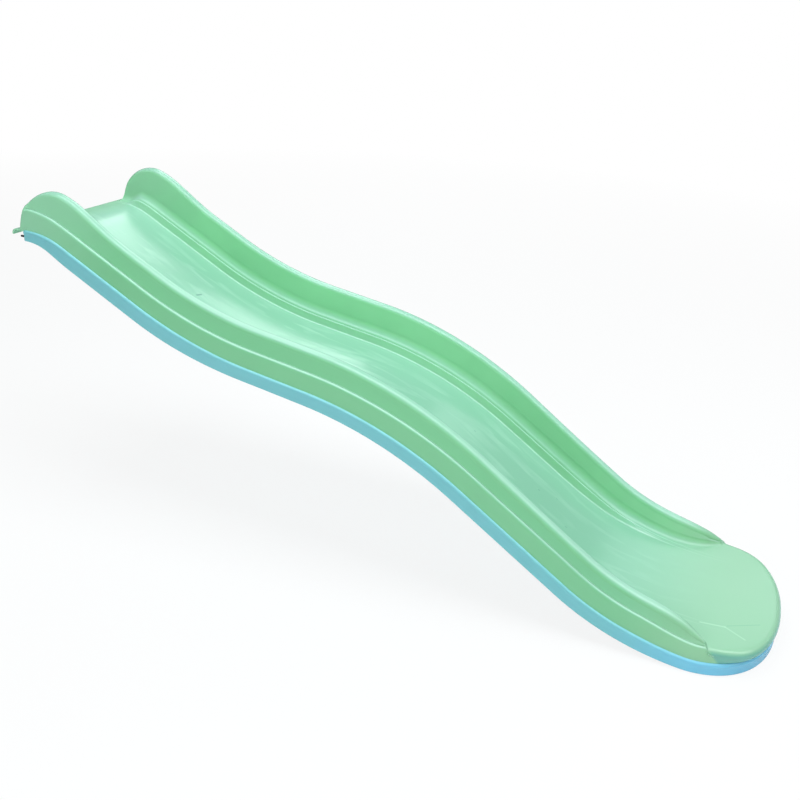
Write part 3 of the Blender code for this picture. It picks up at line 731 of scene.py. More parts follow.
def round_points(inset, height, radius, start, end, count):
    """Points of a rounded corner about (inset, height), between two angles in degrees."""
    points = []
    for number in range(count):
        angle = math.radians(mix(start, end, number / (count - 1)))
        points.append((inset + radius * math.cos(angle), height + radius * math.sin(angle)))
    return points


print("a quarter round:", [round(h, 2) for _, h in round_points(0, 0, 1, 0, 90, 4)])

# %% [markdown]
# The ledge ends at a slanting crease beside the landing. Past it, the same points of the
# section become the side and the soft edge of the landing pad, which lies a few
# millimetres further in. The crease is narrow, so a share that depends on s and on height
# switches from one to the other.

# %% The ledge and the pad's edge
LEDGE_OUTER_ROUND = 0.0072
LEDGE_INNER_ROUND = 0.0012
LEDGE_RISE = 0.0015
# Where the ledge's outer round stops and its inner one starts, in degrees
LEDGE_OUTER_STOP = 75.0
LEDGE_INNER_START = 280.0
PANEL_POINTS = 5


def pad_inset(s):
    side = mix(PAD_SIDE_INSET, PAD_CORNER_INSET, ease(s, WALL_FALL_END, PAD_CORNER))
    return mix(side, PAD_TIP_INSET, ease(s, PAD_CORNER, SLIDE_LENGTH))


def ledge_line(s, panel):
    """The outer wall above the seam: panel and ledge, or the side and edge of the pad."""
    seam = seam_height(s)
    height = mix(LEDGE_HEIGHT, LEDGE_END_HEIGHT, landing_share(s))
    outer = round_points(panel + LEDGE_OUTER_ROUND, height - LEDGE_OUTER_ROUND,
                         LEDGE_OUTER_ROUND, 180.0, LEDGE_OUTER_STOP, ROUND_POINTS)
    inner = round_points(panel + LEDGE_WIDTH - LEDGE_INNER_ROUND,
                         height + LEDGE_RISE + LEDGE_INNER_ROUND,
                         LEDGE_INNER_ROUND, LEDGE_INNER_START, 360.0, ROUND_POINTS)
    edge = round_points(pad_inset(s) + PAD_EDGE_ROUND, LANDING_HEIGHT - PAD_EDGE_ROUND,
                        PAD_EDGE_ROUND, 180.0, 90.0, 2 * ROUND_POINTS)
    foot = BASE_SKIN + LAP_GAP + BEAD_GAP
    shares = [number / PANEL_POINTS for number in range(PANEL_POINTS)]
    low = [(mix(foot, outer[0][0], up), mix(seam, outer[0][1], up)) for up in shares]
    side = [(mix(foot, edge[0][0], up**0.5), mix(seam, edge[0][1], up)) for up in shares]
    line = []
    for a, b in zip(low + outer + inner, side + edge):
        share = crease_share(s, a[1])
        line.append((mix(a[0], b[0], share), mix(a[1], b[1], share)))
    return line


print("points up the outer wall:", len(ledge_line(1.0, 0.010)))

# %% [markdown]
# The inner wall comes down into a wide fillet. Where the fillet ends there is a fine
# groove, then a small step with a rounded top and a rounded foot, and then the flat floor.

# %% The fillet and the step
FILLET_POINTS = 10
STEP_FOOT_RADIUS = 0.0070
STEP_FOOT_MIDDLE = 0.0379
# Where the fillet stops beside the step and where there is none, in degrees
FILLET_STOP = 242.0
FULL_FILLET_STOP = 270.0
FLAT_FOOT_SHIFT = 0.006
# Inset from the fillet's start and share of the step's height, from the groove to the foot
STEP_SHAPE = [(0.0170, 1.12), (0.0180, 1.03), (0.0192, 1.01), (0.0203, 1.05), (0.0213, 1.10),
              (0.0224, 1.09), (0.0234, 1.01), (0.0242, 0.91)]
STEP_SHAPE += [(inset, height / STEP_HEIGHT) for inset, height in round_points(
    STEP_FOOT_MIDDLE, STEP_FOOT_RADIUS, STEP_FOOT_RADIUS, 212.0, 270.0, ROUND_POINTS)]


def foot_line(s):
    """From the inner wall down the fillet and over the step to the floor."""
    floor = floor_height(s)
    full = step_share(s)
    inset = FOOT_INSET - FOOT_SHIFT * (1.0 - wall_share(s))
    radius = mix(TIP_FILLET_RADIUS, mix(END_FILLET_RADIUS, FILLET_RADIUS, full), wall_share(s))
    middle = floor + (STEP_HEIGHT + FOOT_LIFT) * full + radius
    fillet = round_points(inset + radius, middle, radius, 180.0,
                          mix(FULL_FILLET_STOP, FILLET_STOP, full), FILLET_POINTS)
    height = STEP_HEIGHT * full
    past = mix(FLAT_FOOT_SHIFT, 0.0, full)
    step = [(inset + across + past, floor + height * share) for across, share in STEP_SHAPE]
    return fillet, step


print("groove to floor:", len(STEP_SHAPE), "points")


# %% The section of the trough
RIM_POINTS = 16
RIM_FULLNESS = 0.85
SHOULDER_GAP = 0.0005


def cut_at(points, top):
    """The points of a face that rises, with those above top drawn down along it to top."""
    kept = [points[0]]
    for (inset, height), (next_inset, next_height) in zip(points, points[1:]):
        if next_height <= top:
            kept.append((next_inset, next_height))
        elif height < top:
            share = (top - height) / (next_height - height)
            kept.append((mix(inset, next_inset, share), top))
        else:
            kept.append(kept[-1])
    return kept


def rim_line(outer, inner, top, crest):
    """The rolled rim between the two faces of the wall: a slightly full half-round."""
    points = []
    for number in range(1, RIM_POINTS):
        angle = math.pi * number / RIM_POINTS
        side = math.copysign(abs(math.cos(angle)) ** RIM_FULLNESS, math.cos(angle))
        rise = math.sin(angle) ** RIM_FULLNESS
        points.append((mix(outer, inner, 0.5 - 0.5 * side), mix(top, crest, rise)))
    return points


def trough_section(s):
    """(inset, height) from the skirt over the rim to the edge of the flat floor."""
    crest = rim_height(s)
    floor = floor_height(s)
    standing = rim_height(max(s, HUMP_PEAK))
    inset = BASE_SKIN + LAP_GAP
    ledge = ledge_line(s, inset + LOWER_PANEL_DRAFT)
    lowest = ledge[-1][1] if s > WALL_SINK_START else floor
    full_top = max(standing - min(RIM_ROUND, 0.5 * (standing - floor)), lowest)
    top = max(crest - min(RIM_ROUND, 0.5 * (crest - floor)), lowest)
    sunk = 1.0 - wall_share(s)
    shoulder = max(RIM_MIDDLE - RIM_WIDTH / 2.0 - RIM_OUTER_SHIFT * sunk,
                   ledge[-1][0] + SHOULDER_GAP)
    rising = [(inset, skirt_bottom(s))] + ledge + [(shoulder, full_top)]
    inner = (RIM_MIDDLE + RIM_WIDTH / 2.0 - RIM_INNER_SHIFT * sunk, full_top)
    fillet, step = foot_line(s)
    falling = cut_at(fillet[::-1] + [inner], top)[::-1]
    rising = cut_at(rising, top)
    rim = rim_line(rising[-1][0], falling[0][0], top, crest)
    return rising + rim + falling + step


print("points in half of the section:", len(trough_section(1.0)))

# %% [markdown]
# The nose is a superellipse in plan, a little fuller than a plain ellipse. Along the straight
# part each row of the sheet lies square across the slide, and round the nose each row
# points at right angles to that outline, like the spokes of a fan. Rows lie closest
# together at the crease, which is only a centimetre wide.

# %% Rows of the sheet
NOSE_ROWS = 48
CREASE_ROW_STEP = 0.0018
CREASE_ROWS = (CREASE - 0.010, CREASE + 0.045)
ROW_STEP = 0.0104
FLOOR_POINTS = 6
WELD = 0.00002


def even_marks(first, last, step):
    count = math.ceil((last - first) / step)
    return [mix(first, last, number / count) for number in range(count)]


def nose_rows():
    """(s, angle) of each row round the nose, from its start to its tip."""
    angles = [math.pi / 2.0 * step / NOSE_ROWS for step in range(NOSE_ROWS + 1)]
    for mark in even_marks(*CREASE_ROWS, CREASE_ROW_STEP):
        share = (mark - NOSE_START) / NOSE_LENGTH
        angles.append(math.asin(share ** (NOSE_FULLNESS / 2.0)))
    rows = []
    for angle in sorted(angles):
        rows.append((NOSE_START + NOSE_LENGTH * math.sin(angle) ** (2.0 / NOSE_FULLNESS), angle))
    return rows


def plan_point(row, inset):
    """(s, y) of the point that lies inset inwards from the outline at this row."""
    s, angle = row
    half_width = BODY_WIDTH / 2.0
    cosine = max(math.cos(angle), 0.0)
    across = half_width * cosine ** (2.0 / NOSE_FULLNESS)
    bend = 2.0 - 2.0 / NOSE_FULLNESS
    ahead_part = math.sin(angle) ** bend / NOSE_LENGTH
    normal = Vector((ahead_part, cosine**bend / half_width)).normalized()
    return s - normal.x * inset, across - normal.y * inset


def whole_row(row, section):
    """(s, y, h) of the points of one row, from the left edge to the right one."""
    half = []
    for inset, height in section:
        s, y = plan_point(row, inset)
        half.append((s, max(y, 0.0), height))
    s, y, height = half[-1]
    for step in range(1, FLOOR_POINTS + 1):
        half.append((s, y * (1.0 - step / FLOOR_POINTS), height))
    return half + [(s, -y, h) for s, y, h in reversed(half[:-1])]


print("rows round the nose:", len(nose_rows()))


# %% A sheet through rows of points
def drawn_mesh(sheet, name):
    """The mesh of what was drawn, which is then let go."""
    mesh = bpy.data.meshes.new(name)
    sheet.to_mesh(mesh)
    sheet.free()
    return mesh


def sheet_mesh(name, rows):
    """The sheet through the rows, its faces upwards and outwards, with shared points merged."""
    sheet = bmesh.new()
    grid = [[sheet.verts.new(point) for point in row] for row in rows]
    for upper, lower in zip(grid, grid[1:]):
        for at in range(len(upper) - 1):
            sheet.faces.new((upper[at], upper[at + 1], lower[at + 1], lower[at]))
    bmesh.ops.remove_doubles(sheet, verts=sheet.verts, dist=WELD)
    bmesh.ops.dissolve_degenerate(sheet, edges=sheet.edges, dist=WELD)
    return drawn_mesh(sheet, name)


print("points closer together than", WELD * 1000, "mm are merged")

# %% [markdown]
# The lip hooks over the edge of the play deck: the floor runs level past the top of the
# slide and turns down in a quarter-round.

# %% The flat trough
LIP_ROWS = 10
HUMP_ROWS = 24


def lip_rows(insets):
    rows = []
    turn = -(LIP_REACH - LIP_RADIUS)
    for step in range(LIP_ROWS, -1, -1):
        angle = math.pi / 2.0 * step / LIP_ROWS
        s = turn - LIP_RADIUS * math.sin(angle)
        h = FLOOR_HEIGHT - LIP_RADIUS * (1.0 - math.cos(angle))
        rows.append(whole_row((s, 0.0), [(inset, h) for inset in insets]))
    return rows


def hump_marks():
    """Rows round the end of the hand hump, evenly spread along its curve."""
    span = HUMP_PEAK + WALL_OVERHANG
    marks = []
    for step in range(HUMP_ROWS):
        angle = math.pi / 2.0 * step / HUMP_ROWS
        marks.append(HUMP_PEAK - span * math.cos(angle) ** (2.0 / HUMP_FULLNESS))
    return marks


def flat_trough():
    marks = hump_marks() + even_marks(HUMP_PEAK, WALL_FALL_START, ROW_STEP)
    marks += even_marks(WALL_FALL_START, NOSE_START, 0.5 * ROW_STEP)
    rows = lip_rows([inset for inset, _ in trough_section(marks[0])])
    for row in [(mark, 0.0) for mark in marks] + nose_rows():
        rows.append(whole_row(row, trough_section(row[0])))
    return sheet_mesh("trough_moulding", rows)


trough = new_piece("trough_moulding", flat_trough())
run_tree(trough, BEND, Path=slide_path, Lead_in=LEAD_IN, Finish=green_plastic)
print("trough sheet:", len(trough.data.polygons), "faces")

# %% [markdown]
# The sheet gets its wall from Solidify, inwards from the face that shows, and a narrow
# Bevel takes the sharpness off the cut edges, as trimming a real moulding does.

# %% A wall for the mouldings
TRIMMED_EDGE = 0.0012
EDGE_SEGMENTS = 3
# Only an edge that turns by more than this is trimmed, not the folds of the section
TRIMMED_ANGLE = math.radians(78.0)


def give_wall(piece, thickness, trimmed):
    """Gives the sheet its thickness and rounds its cut edges."""
    skin = piece.modifiers.new("wall", "SOLIDIFY")
    skin.thickness = thickness
    skin.offset = -1.0
    skin.use_rim = True
    edge = piece.modifiers.new("trimmed_edge", "BEVEL")
    edge.width = trimmed
    edge.segments = EDGE_SEGMENTS
    edge.limit_method = "ANGLE"
    edge.angle_limit = TRIMMED_ANGLE
    keep(piece)
    piece.data.shade_smooth()
    return piece


give_wall(trough, TROUGH_SKIN, TRIMMED_EDGE)
print("trough moulding:", len(trough.data.polygons), "faces")

# %% [markdown]
# ## The base moulding
#
# The base is a shallow tray. Its upper edge carries a rounded bead, which hides the seam,
# and its underside steps up to a panel, so that it stands on a narrow strip.

# %% The flat base
BEAD_RADIUS = 0.0068
FOOT_STRIP = 0.012
FOOT_CORNER = 0.0035
PANEL_RECESS = 0.006
PANEL_SLOPE = 0.003
PANEL_ROUND = 0.002
PANEL_ROUND_START = 0.9
FOOT_DROP = 0.007
FOOT_DROPS = (0.030, 0.160)
FOOT_RISES = (0.420, 0.800)
BEAD_POINTS = 10
BEAD_STOP = 205.0
WAIST_INSET = 0.0010
WAIST_DEPTH = 1.9 * BEAD_RADIUS
CORNER_POINTS = 7
END_ROUND = 0.0025
FIRST_BASE_ROW = 0.006
# Pieces that only rest against each other are drawn this far apart
CLEARANCE = 0.0003


def foot_height(s):
    return -FOOT_DROP * ease(s, *FOOT_DROPS) * (1.0 - ease(s, *FOOT_RISES))


def base_section(s):
    """(inset, height) from the bead under the seam round the foot to the bottom panel."""
    seam = seam_height(s)
    foot = foot_height(s)
    bead = round_points(BEAD_RADIUS, seam - BEAD_RADIUS, BEAD_RADIUS, 90.0, BEAD_STOP,
                        BEAD_POINTS)
    waist = [(WAIST_INSET, seam - WAIST_DEPTH)]
    corner = round_points(FOOT_CORNER, foot + FOOT_CORNER, FOOT_CORNER, 180.0, 270.0,
                          CORNER_POINTS)
    strip_end = FOOT_CORNER + FOOT_STRIP
    rise = [(strip_end, foot), (strip_end + PANEL_SLOPE, mix(foot, PANEL_RECESS, PANEL_ROUND_START)),
            (strip_end + PANEL_SLOPE + PANEL_ROUND, PANEL_RECESS),
            (strip_end + PANEL_SLOPE + PANEL_RECESS, PANEL_RECESS)]
    return bead + waist + corner + rise


def end_wall_top(section, top):
    """The upper edge of the end wall: the section, with what lies below top raised to it."""
    points = []
    for inset, height in section:
        if height < top:
            points.append((max(inset, points[-1][0]), top))
        else:
            points.append((inset, height))
    return points


def flat_base():
    top = SEAT_HEIGHT - CLEARANCE
    end = base_section(0.0)
    drawn = [(inset + END_ROUND, height) for inset, height in end]
    rows = [whole_row((0.0, 0.0), end_wall_top(drawn, top))]
    for angle in (0.0, 30.0, 60.0, 90.0):
        turn = math.radians(angle)
        drawn_in = END_ROUND * (1.0 - math.sin(turn))
        at = END_ROUND * (1.0 - math.cos(turn))
        rows.append(whole_row((at, 0.0), [(inset + drawn_in, height) for inset, height in end]))
    marks = even_marks(FIRST_BASE_ROW, NOSE_START, ROW_STEP)
    for row in [(mark, 0.0) for mark in marks] + nose_rows():
        rows.append(whole_row(row, base_section(row[0])))
    return sheet_mesh("base_moulding", rows)


base = new_piece("base_moulding", flat_base())
run_tree(base, BEND, Path=slide_path, Lead_in=LEAD_IN, Finish=blue_plastic)
base.data.flip_normals()
give_wall(base, BASE_SKIN, 0.5 * TRIMMED_EDGE)
print("base moulding:", len(base.data.polygons), "faces")

# %% [markdown]
# ## Screws and their bosses
#
# Two rows of pan-head screws and one in the nose hold the mouldings together from below.
# Each one bites into a boss, a short tube under the floor of the trough.

# %% Where the screws stand
SCREWS_PER_SIDE = 8
SCREW_ROW = 0.095
FIRST_SCREW = 0.110
LAST_SCREW = SLIDE_LENGTH - 0.330
NOSE_SCREW = SLIDE_LENGTH - 0.100
SCREW_SEAT = PANEL_RECESS - CLEARANCE


def screw_places():
    """(name, s, y) of each screw."""
    places = []
    for side, name in ((1.0, "left"), (-1.0, "right")):
        for number in range(SCREWS_PER_SIDE):
            s = mix(FIRST_SCREW, LAST_SCREW, number / (SCREWS_PER_SIDE - 1))
            places.append((f"joining_screw_{name}_{number + 1}", s, side * SCREW_ROW))
    return places + [("joining_screw_nose", NOSE_SCREW, 0.0)]


print("screws:", len(screw_places()))

# %% [markdown]
# The bosses are drawn flat, as tubes in (s, y, h), and bent along the path by the same tree
# as the mouldings.

# %% Bosses
BOSS_RADIUS = 0.008
BORE_RADIUS = 0.0026
BORE_DEPTH = 0.011
BOSS_BOTTOM = PANEL_RECESS + BASE_SKIN + 2.0 * CLEARANCE
BOSS_BURY = 0.0022
BOSS_CHAMFER = 0.0006
ROUND_SIDES = 24
SHARP_EDGE = math.radians(40.0)


def join_rings(sheet, rings):
    """Adds the faces between rings of points, and one over each end."""
    for low, high in zip(rings, rings[1:]):
        for at in range(len(low)):
            after = (at + 1) % len(low)
            sheet.faces.new((low[at], low[after], high[after], high[at]))
    sheet.faces.new(rings[0][::-1])
    sheet.faces.new(rings[-1])


def turned_faces(sheet, centre, profile):
    """Adds the surface turned from a profile of (radius, height), listed from below."""
    rings = []
    for radius, height in profile:
        ring = []
        for side in range(ROUND_SIDES):
            angle = math.tau * side / ROUND_SIDES
            ring.append(sheet.verts.new((centre[0] + radius * math.cos(angle),
                                         centre[1] + radius * math.sin(angle), height)))
        rings.append(ring)
    join_rings(sheet, rings)


def flat_bosses():
    sheet = bmesh.new()
    for _, s, y in screw_places():
        top = floor_height(s) - TROUGH_SKIN + BOSS_BURY
        bore_top = min(top - BOSS_BURY, BOSS_BOTTOM + BORE_DEPTH)
        profile = [(BORE_RADIUS, bore_top), (BORE_RADIUS, BOSS_BOTTOM + BOSS_CHAMFER),
                   (BORE_RADIUS + BOSS_CHAMFER, BOSS_BOTTOM),
                   (BOSS_RADIUS - BOSS_CHAMFER, BOSS_BOTTOM),
                   (BOSS_RADIUS, BOSS_BOTTOM + BOSS_CHAMFER), (BOSS_RADIUS, top)]
        turned_faces(sheet, (s, y), profile)
    return drawn_mesh(sheet, "screw_bosses")


bosses = new_piece("screw_bosses", flat_bosses())
run_tree(bosses, BEND, Path=slide_path, Lead_in=LEAD_IN, Finish=green_plastic)
bosses.data.shade_smooth()
bosses.data.set_sharp_from_angle(angle=SHARP_EDGE)
print("bosses:", len(bosses.data.polygons), "faces")

# %% [markdown]
# ## Steel
#
# Zinc plate has a bright, slightly blue skin that is brushed by handling, so its roughness
# varies in fine patches. The deck bolts have a black oxide skin that wears to grey.

# %% Steel finishes
ZINC_CLEAN = 0xC4C7CA
ZINC_DULL = 0xA8ACB0
OXIDE_BLACK = 0x3C3D40
OXIDE_WORN = 0x55565A
# Patches of about 2 mm, the size of the blooms on a plated skin
BLOOM_SIZE = 0.002


def plated_steel(name, clean, dull, smooth, rough):
    material, tree = new_material(name)
    shader = tree.nodes["Principled BSDF"]
    shader.inputs["Metallic"].default_value = 1.0
    here = add(tree, "ShaderNodeTexCoord").outputs["Object"]
    bloom = add(tree, "ShaderNodeTexNoise", {"Vector": here},
                {"Scale": 1.0 / BLOOM_SIZE, "Detail": 4.0, "Roughness": 0.6})
    tint = add(tree, "ShaderNodeMix", {0: bloom.outputs["Fac"]},
               {6: linear(clean), 7: linear(dull)}, data_type="RGBA")
    tree.links.new(tint.outputs[2], shader.inputs["Base Color"])
    gloss = add(tree, "ShaderNodeMapRange", {"Value": bloom.outputs["Fac"]},
                {"From Min": 0.3, "From Max": 0.7, "To Min": smooth, "To Max": rough})
    tree.links.new(gloss.outputs[0], shader.inputs["Roughness"])
    return material


zinc_plate = plated_steel("zinc_plated_steel_screws", ZINC_CLEAN, ZINC_DULL, 0.26, 0.44)
black_oxide = plated_steel("black_oxide_steel_bolts", OXIDE_BLACK, OXIDE_WORN, 0.34, 0.52)
print("steels:", zinc_plate.name, "and", black_oxide.name)

# %% [markdown]
# One screw is modelled with its head down, and a cross recess is cut into the head.

# %% One screw
SCREW_SHANK = 0.0045
SCREW_HEAD = 0.0100
SCREW_HEAD_HEIGHT = 0.0027
SCREW_LENGTH = 0.0153
RECESS_REACH = 0.0027
RECESS_WIDTH = 0.0010
RECESS_DEPTH = 0.0016
RECESS_ABOVE = 0.001
# How far its arms go at the mouth and at the tip, as shares of RECESS_REACH
RECESS_MOUTH = 1.1
RECESS_TIP = 0.45
HEAD_EDGE = 0.0002
# Radius of the tip as a share of the shank's
SCREW_TIP = 0.3
SCREW_SHARP_EDGE = math.radians(35.0)


def screw_mesh():
    head, shank = SCREW_HEAD / 2.0, SCREW_SHANK / 2.0
    dome = [(0.10, 1.0), (0.35, 0.99), (0.60, 0.94), (0.80, 0.83), (0.93, 0.64), (1.0, 0.36)]
    profile = [(head * r, -SCREW_HEAD_HEIGHT * h) for r, h in dome]
    profile += [(head, -HEAD_EDGE), (head - HEAD_EDGE, 0.0), (shank, 0.0)]
    profile += [(shank, SCREW_LENGTH - shank), (SCREW_TIP * shank, SCREW_LENGTH)]
    sheet = bmesh.new()
    turned_faces(sheet, (0.0, 0.0), profile)
    return drawn_mesh(sheet, "screw")


def recess_mesh():
    """A cross that tapers into the head, as the tip of a screwdriver does."""
    sheet = bmesh.new()
    for long_way in (0, 1):
        corners = []
        for height, share in ((-SCREW_HEAD_HEIGHT - RECESS_ABOVE, RECESS_MOUTH),
                              (RECESS_DEPTH - SCREW_HEAD_HEIGHT, RECESS_TIP)):
            for u, v in ((-1, -1), (1, -1), (1, 1), (-1, 1)):
                flat = (u * RECESS_REACH * share, v * RECESS_WIDTH / 2.0)
                x, y = flat if long_way else (-flat[1], flat[0])
                corners.append(sheet.verts.new((x, y, height)))
        sheet.faces.new(corners[3::-1])
        sheet.faces.new(corners[4:])
        for at in range(4):
            after = (at + 1) % 4
            sheet.faces.new((corners[at], corners[after], corners[4 + after], corners[4 + at]))
    return drawn_mesh(sheet, "cross_recess")


one_screw = new_piece("one_screw", screw_mesh())
recess = new_piece("cross_recess", recess_mesh())
cut = one_screw.modifiers.new("recess", "BOOLEAN")
cut.operation = "DIFFERENCE"
cut.solver = "EXACT"
cut.use_self = True
cut.object = recess
keep(one_screw)
bpy.data.objects.remove(recess)
one_screw.data.shade_smooth()
one_screw.data.set_sharp_from_angle(angle=SCREW_SHARP_EDGE)
print("one screw:", len(one_screw.data.polygons), "faces")

# %% [markdown]
# A second tree stands a copy of the screw at each place. The places are bent along the path
# by the first tree, which also tells which way is square to the path. A fixed seed turns
# each screw by its own amount, because nobody lines up cross recesses.

# %% The tree that sets out screws
def row_tree():
    tree = new_tree("parts_along_path", "Row", Places="Geometry", Path="Object", Part="Object",
                    Lead_in="Float", Seed="Int", Finish="Material")
    given = add(tree, "NodeGroupInput").outputs
    bent = add(tree, "GeometryNodeGroup",
               {0: given["Places"], 1: given["Path"], 2: given["Lead in"]}, node_tree=BEND)
    upright = add(tree, "GeometryNodeInputNamedAttribute", values={"Name": "square_to_path"},
                  data_type="FLOAT_VECTOR")
    standing = add(tree, "FunctionNodeAlignRotationToVector",
                   {"Vector": upright.outputs["Attribute"]}, axis="Z")
    chance = add(tree, "FunctionNodeRandomValue", {8: given["Seed"]}, {2: 0.0, 3: math.tau},
                 data_type="FLOAT")
    about = add(tree, "ShaderNodeCombineXYZ", {"Z": chance.outputs[1]})
    turn = add(tree, "FunctionNodeEulerToRotation", {0: about.outputs[0]})
    turned = add(tree, "FunctionNodeRotateRotation",
                 {0: standing.outputs[0], 1: turn.outputs[0]}, rotation_space="LOCAL")
    part = add(tree, "GeometryNodeObjectInfo", {"Object": given["Part"]})
    row = add(tree, "GeometryNodeInstanceOnPoints",
              {"Points": bent.outputs[0], "Instance": part.outputs["Geometry"],
               "Rotation": turned.outputs[0]})
    real = add(tree, "GeometryNodeRealizeInstances", {0: row.outputs[0]})
    made = add(tree, "GeometryNodeSetMaterial",
               {"Geometry": real.outputs[0], "Material": given["Finish"]})
    add(tree, "NodeGroupOutput", {0: made.outputs[0]})
    return tree


SCREW_TURN_SEED = 7
ROW = row_tree()
seats = bpy.data.meshes.new("joining_screws")
seats.from_pydata([(s, y, SCREW_SEAT) for _, s, y in screw_places()], [], [])
screws = new_piece("joining_screws", seats)
run_tree(screws, ROW, Path=slide_path, Part=one_screw, Lead_in=LEAD_IN,
         Seed=SCREW_TURN_SEED, Finish=zinc_plate)
bpy.data.objects.remove(one_screw)
print("joining screws:", len(screws.data.polygons), "faces")

# %% [markdown]
# The deck bolts stand level out of the end wall of the base. A thread is a ridge whose
# height depends on how far up the bolt and how far round it a point is.

# %% Deck bolts
BOLT_RADIUS = 0.0030
BOLT_HEAD_RADIUS = 0.0050
BOLT_HEAD_HEIGHT = 0.0040
# Radius of the head's flat top as a share of the head's, and the height of the slope to it
BOLT_HEAD_TOP = 0.8
BOLT_HEAD_EDGE = 0.0004
BOLT_LENGTH = 0.024
BOLT_PITCH = 0.0010
BOLT_SIDE_INSET = 0.0105
BOLT_UP = 0.0105
THREAD_DEPTH = 0.0004
BOLT_ROWS_PER_PITCH = 6
# The thread shrinks to this share of its radius over the last stretch
BOLT_TIP = 0.6
BOLT_TIP_LENGTH = 0.0015
SIXTH_TURN = math.pi / 3.0


def thread_radius(height, angle):
    turn = (height / BOLT_PITCH - angle / math.tau) % 1.0
    return BOLT_RADIUS - THREAD_DEPTH * (1.0 - abs(2.0 * turn - 1.0))


def bolt_rings():
    """Rings of (radius, height) per side, from the hexagon head up the thread to the tip."""
    angles = [math.tau * side / ROUND_SIDES for side in range(ROUND_SIDES)]
    flat = BOLT_HEAD_RADIUS * math.cos(SIXTH_TURN / 2.0)
    hexagon = [flat / math.cos(angle % SIXTH_TURN - SIXTH_TURN / 2.0) for angle in angles]
    rings = [([BOLT_HEAD_TOP * BOLT_HEAD_RADIUS] * ROUND_SIDES, -BOLT_HEAD_HEIGHT),
             (hexagon, BOLT_HEAD_EDGE - BOLT_HEAD_HEIGHT), (hexagon, 0.0)]
    rings += [([BOLT_RADIUS] * ROUND_SIDES, 0.0), ([BOLT_RADIUS] * ROUND_SIDES, BASE_SKIN)]
    count = round((BOLT_LENGTH - BASE_SKIN) / BOLT_PITCH * BOLT_ROWS_PER_PITCH)
    for number in range(1, count + 1):
        height = mix(BASE_SKIN, BOLT_LENGTH, number / count)
        tip = ease(height, BOLT_LENGTH - BOLT_TIP_LENGTH, BOLT_LENGTH)
        blunt = mix(BOLT_TIP, 1.0, 1.0 - tip)
        rings.append(([thread_radius(height, angle) * blunt for angle in angles], height))
    return rings


def bolt_mesh(name, y):
    x, z, _ = path_point(0.0)
    seat = x - SEAT_MIDDLE + BASE_SKIN + CLEARANCE
    level = z - SEAT_HEIGHT + BOLT_UP
    sheet = bmesh.new()
    rings = []
    for radii, height in bolt_rings():
        ring = []
        for side, radius in enumerate(radii):
            angle = math.tau * side / ROUND_SIDES
            ring.append(sheet.verts.new((seat - height, y + radius * math.sin(angle),
                                         level + radius * math.cos(angle))))
        rings.append(ring)
    join_rings(sheet, rings)
    bmesh.ops.recalc_face_normals(sheet, faces=sheet.faces)
    mesh = drawn_mesh(sheet, name)
    mesh.materials.append(black_oxide)
    mesh.shade_smooth()
    mesh.set_sharp_from_angle(angle=SHARP_EDGE)
    return mesh


bolts = []
for name, side in (("deck_bolt_left", 1.0), ("deck_bolt_right", -1.0)):
    across = side * (BODY_WIDTH / 2.0 - BOLT_SIDE_INSET)
    bolts.append((new_piece("threaded_" + name, bolt_mesh(name, across)), name))
print("one bolt:", len(bolts[0][0].data.polygons), "faces")

# %% [markdown]
# ## Riding the frame
#
# The slide has no moving parts, so every piece rides on the one body, root. Each piece
# stands for one or more nodes of the CAD model, which it hides.

# %% Ride and replace
screw_nodes = [name for name, _, _ in screw_places()]
riders = [(trough, "green_polyethylene", ["trough_shell"]),
          (bosses, "green_polyethylene", ["trough_shell"]),
          (base, "blue_polyethylene", ["base_shell"]),
          (screws, "zinc_plated_steel", screw_nodes)]
riders += [(bolt, "dark_steel", [node]) for bolt, node in bolts]
for piece, slot, nodes in riders:
    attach(piece, "root")
    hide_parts(*nodes)
bpy.data.objects.remove(slide_path)
print("pieces:", len(riders))

# %% [markdown]
# ## Floor, light and camera
#
# A product photo of this kind has a white ground. The paper is a little brighter to the
# camera than the light on it would make it, more so further away, so that only the soft
# shadow of the slide shows.

# %% Floor
FLOOR_LEVEL = cad_box[0][2] - CLEARANCE
FLOOR_HALF = 300.0
PAPER_WHITE = 0xF4F6F6
PURE_WHITE = 0xFFFFFF
PAPER_LIFT = {"From Min": 1.5, "From Max": 6.0, "To Min": 0.85, "To Max": 1.0}
floor_mesh = bpy.data.meshes.new("floor")
corners = [(-FLOOR_HALF, -FLOOR_HALF), (FLOOR_HALF, -FLOOR_HALF),
           (FLOOR_HALF, FLOOR_HALF), (-FLOOR_HALF, FLOOR_HALF)]
floor_mesh.from_pydata([(x, y, FLOOR_LEVEL) for x, y in corners], [], [(0, 1, 2, 3)])
floor = new_piece("floor", floor_mesh)
paper, tree = new_material("white_studio_paper")
diffuse = add(tree, "ShaderNodeBsdfDiffuse", values={"Color": linear(PAPER_WHITE)})
glow = add(tree, "ShaderNodeEmission", values={"Color": linear(PURE_WHITE), "Strength": 1.0})
rays = add(tree, "ShaderNodeLightPath")
here = add(tree, "ShaderNodeTexCoord").outputs["Object"]
away = add(tree, "ShaderNodeVectorMath", {0: here}, operation="LENGTH")
lift = add(tree, "ShaderNodeMapRange", {"Value": away.outputs["Value"]}, PAPER_LIFT)
share = add(tree, "ShaderNodeMath", {0: rays.outputs["Is Camera Ray"], 1: lift.outputs[0]},
            operation="MULTIPLY")
both = add(tree, "ShaderNodeMixShader",
           {0: share.outputs[0], 1: diffuse.outputs[0], 2: glow.outputs[0]})
tree.links.new(both.outputs[0], tree.nodes["Material Output"].inputs["Surface"])
floor.data.materials.append(paper)
print("floor level:", round(FLOOR_LEVEL, 4))

# %% [markdown]
# The surroundings are an even white studio: white to the camera, and much dimmer as a source
# of light and in reflections, so that the lamps shape the plastic.

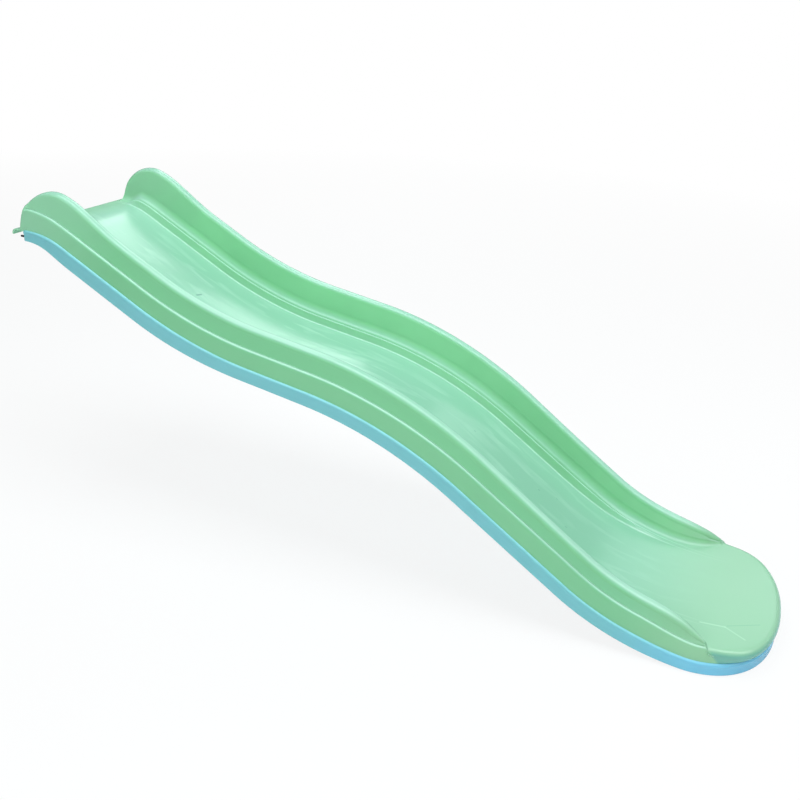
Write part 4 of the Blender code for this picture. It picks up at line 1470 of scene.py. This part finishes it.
# %% Surroundings
WORLD_AS_LIGHT = 0.20
world = bpy.data.worlds.new("studio")
bpy.context.scene.world = world
world.use_nodes = True
tree = world.node_tree
rays = add(tree, "ShaderNodeLightPath")
level = add(tree, "ShaderNodeMapRange", {"Value": rays.outputs["Is Camera Ray"]},
            {"To Min": WORLD_AS_LIGHT, "To Max": 1.0})
background = tree.nodes["Background"]
background.inputs["Color"].default_value = linear(PURE_WHITE)
tree.links.new(level.outputs[0], background.inputs["Strength"])
print("world strength as a light:", WORLD_AS_LIGHT)

# %% [markdown]
# Four lamps light the slide. The long strip under the ceiling draws the bright line on every
# rounded edge. The two back panels are what the floor mirrors: one in the first drop and
# the dip, the other in the landing. The softbox in front opens up the walls, and is kept out of
# reflections, because a shine on the walls would wash out their green.

# %% Softboxes
COOL_WHITE = 0xF4FCFF


def softbox(name, place, target, size, power, colour):
    """A soft rectangular lamp at a place, turned towards a target."""
    lamp = bpy.data.lights.new(name, "AREA")
    lamp.shape = "RECTANGLE"
    lamp.size, lamp.size_y = size
    lamp.energy = power
    lamp.color = linear(colour)[:3]
    holder = bpy.data.objects.new(name, lamp)
    holder.location = place
    aim = Vector(target) - Vector(place)
    holder.rotation_euler = aim.to_track_quat("-Z", "Y").to_euler()
    bpy.context.scene.collection.objects.link(holder)
    return holder


softbox("ceiling_strip", (2.6, 0.0, 2.6), (2.6, 0.0, 0.0), (6.6, 1.7), 141.0, COOL_WHITE)
softbox("back_panel_top", (-0.9, 3.6, 2.55), (-0.9, 3.6, 0.0), (1.5, 2.8), 55.0, COOL_WHITE)
softbox("back_panel_landing", (2.8, 4.7, 2.55), (2.8, 4.7, 0.0), (1.8, 1.1), 14.0, COOL_WHITE)
front = softbox("front_softbox", (0.9, -3.2, 0.7), (0.9, 0.0, -0.3), (3.0, 1.6), 45.0, PURE_WHITE)
front.visible_glossy = False
print("lamps:", len(bpy.data.lights))

# %% [markdown]
# The camera stands on the slide's near side, towards the landing, and looks down on it.
# Its place, turn and lens were fitted to the outline of the slide in the photograph.

# %% Camera
LENS = 36.4813
SENSOR_WIDTH = 36.0
CAMERA_PLACE = (1.829485, -1.825603, 0.605536)
CAMERA_TURN = (63.504268, -1.670425, 24.158549)
camera = bpy.data.objects.new("camera", bpy.data.cameras.new("camera"))
camera.data.lens = LENS
camera.data.sensor_width = SENSOR_WIDTH
camera.location = CAMERA_PLACE
camera.rotation_euler = Euler([math.radians(angle) for angle in CAMERA_TURN])
bpy.context.scene.collection.objects.link(camera)
bpy.context.scene.camera = camera
bpy.context.scene.view_settings.view_transform = "Standard"
print("camera at", [round(v, 3) for v in camera.location])
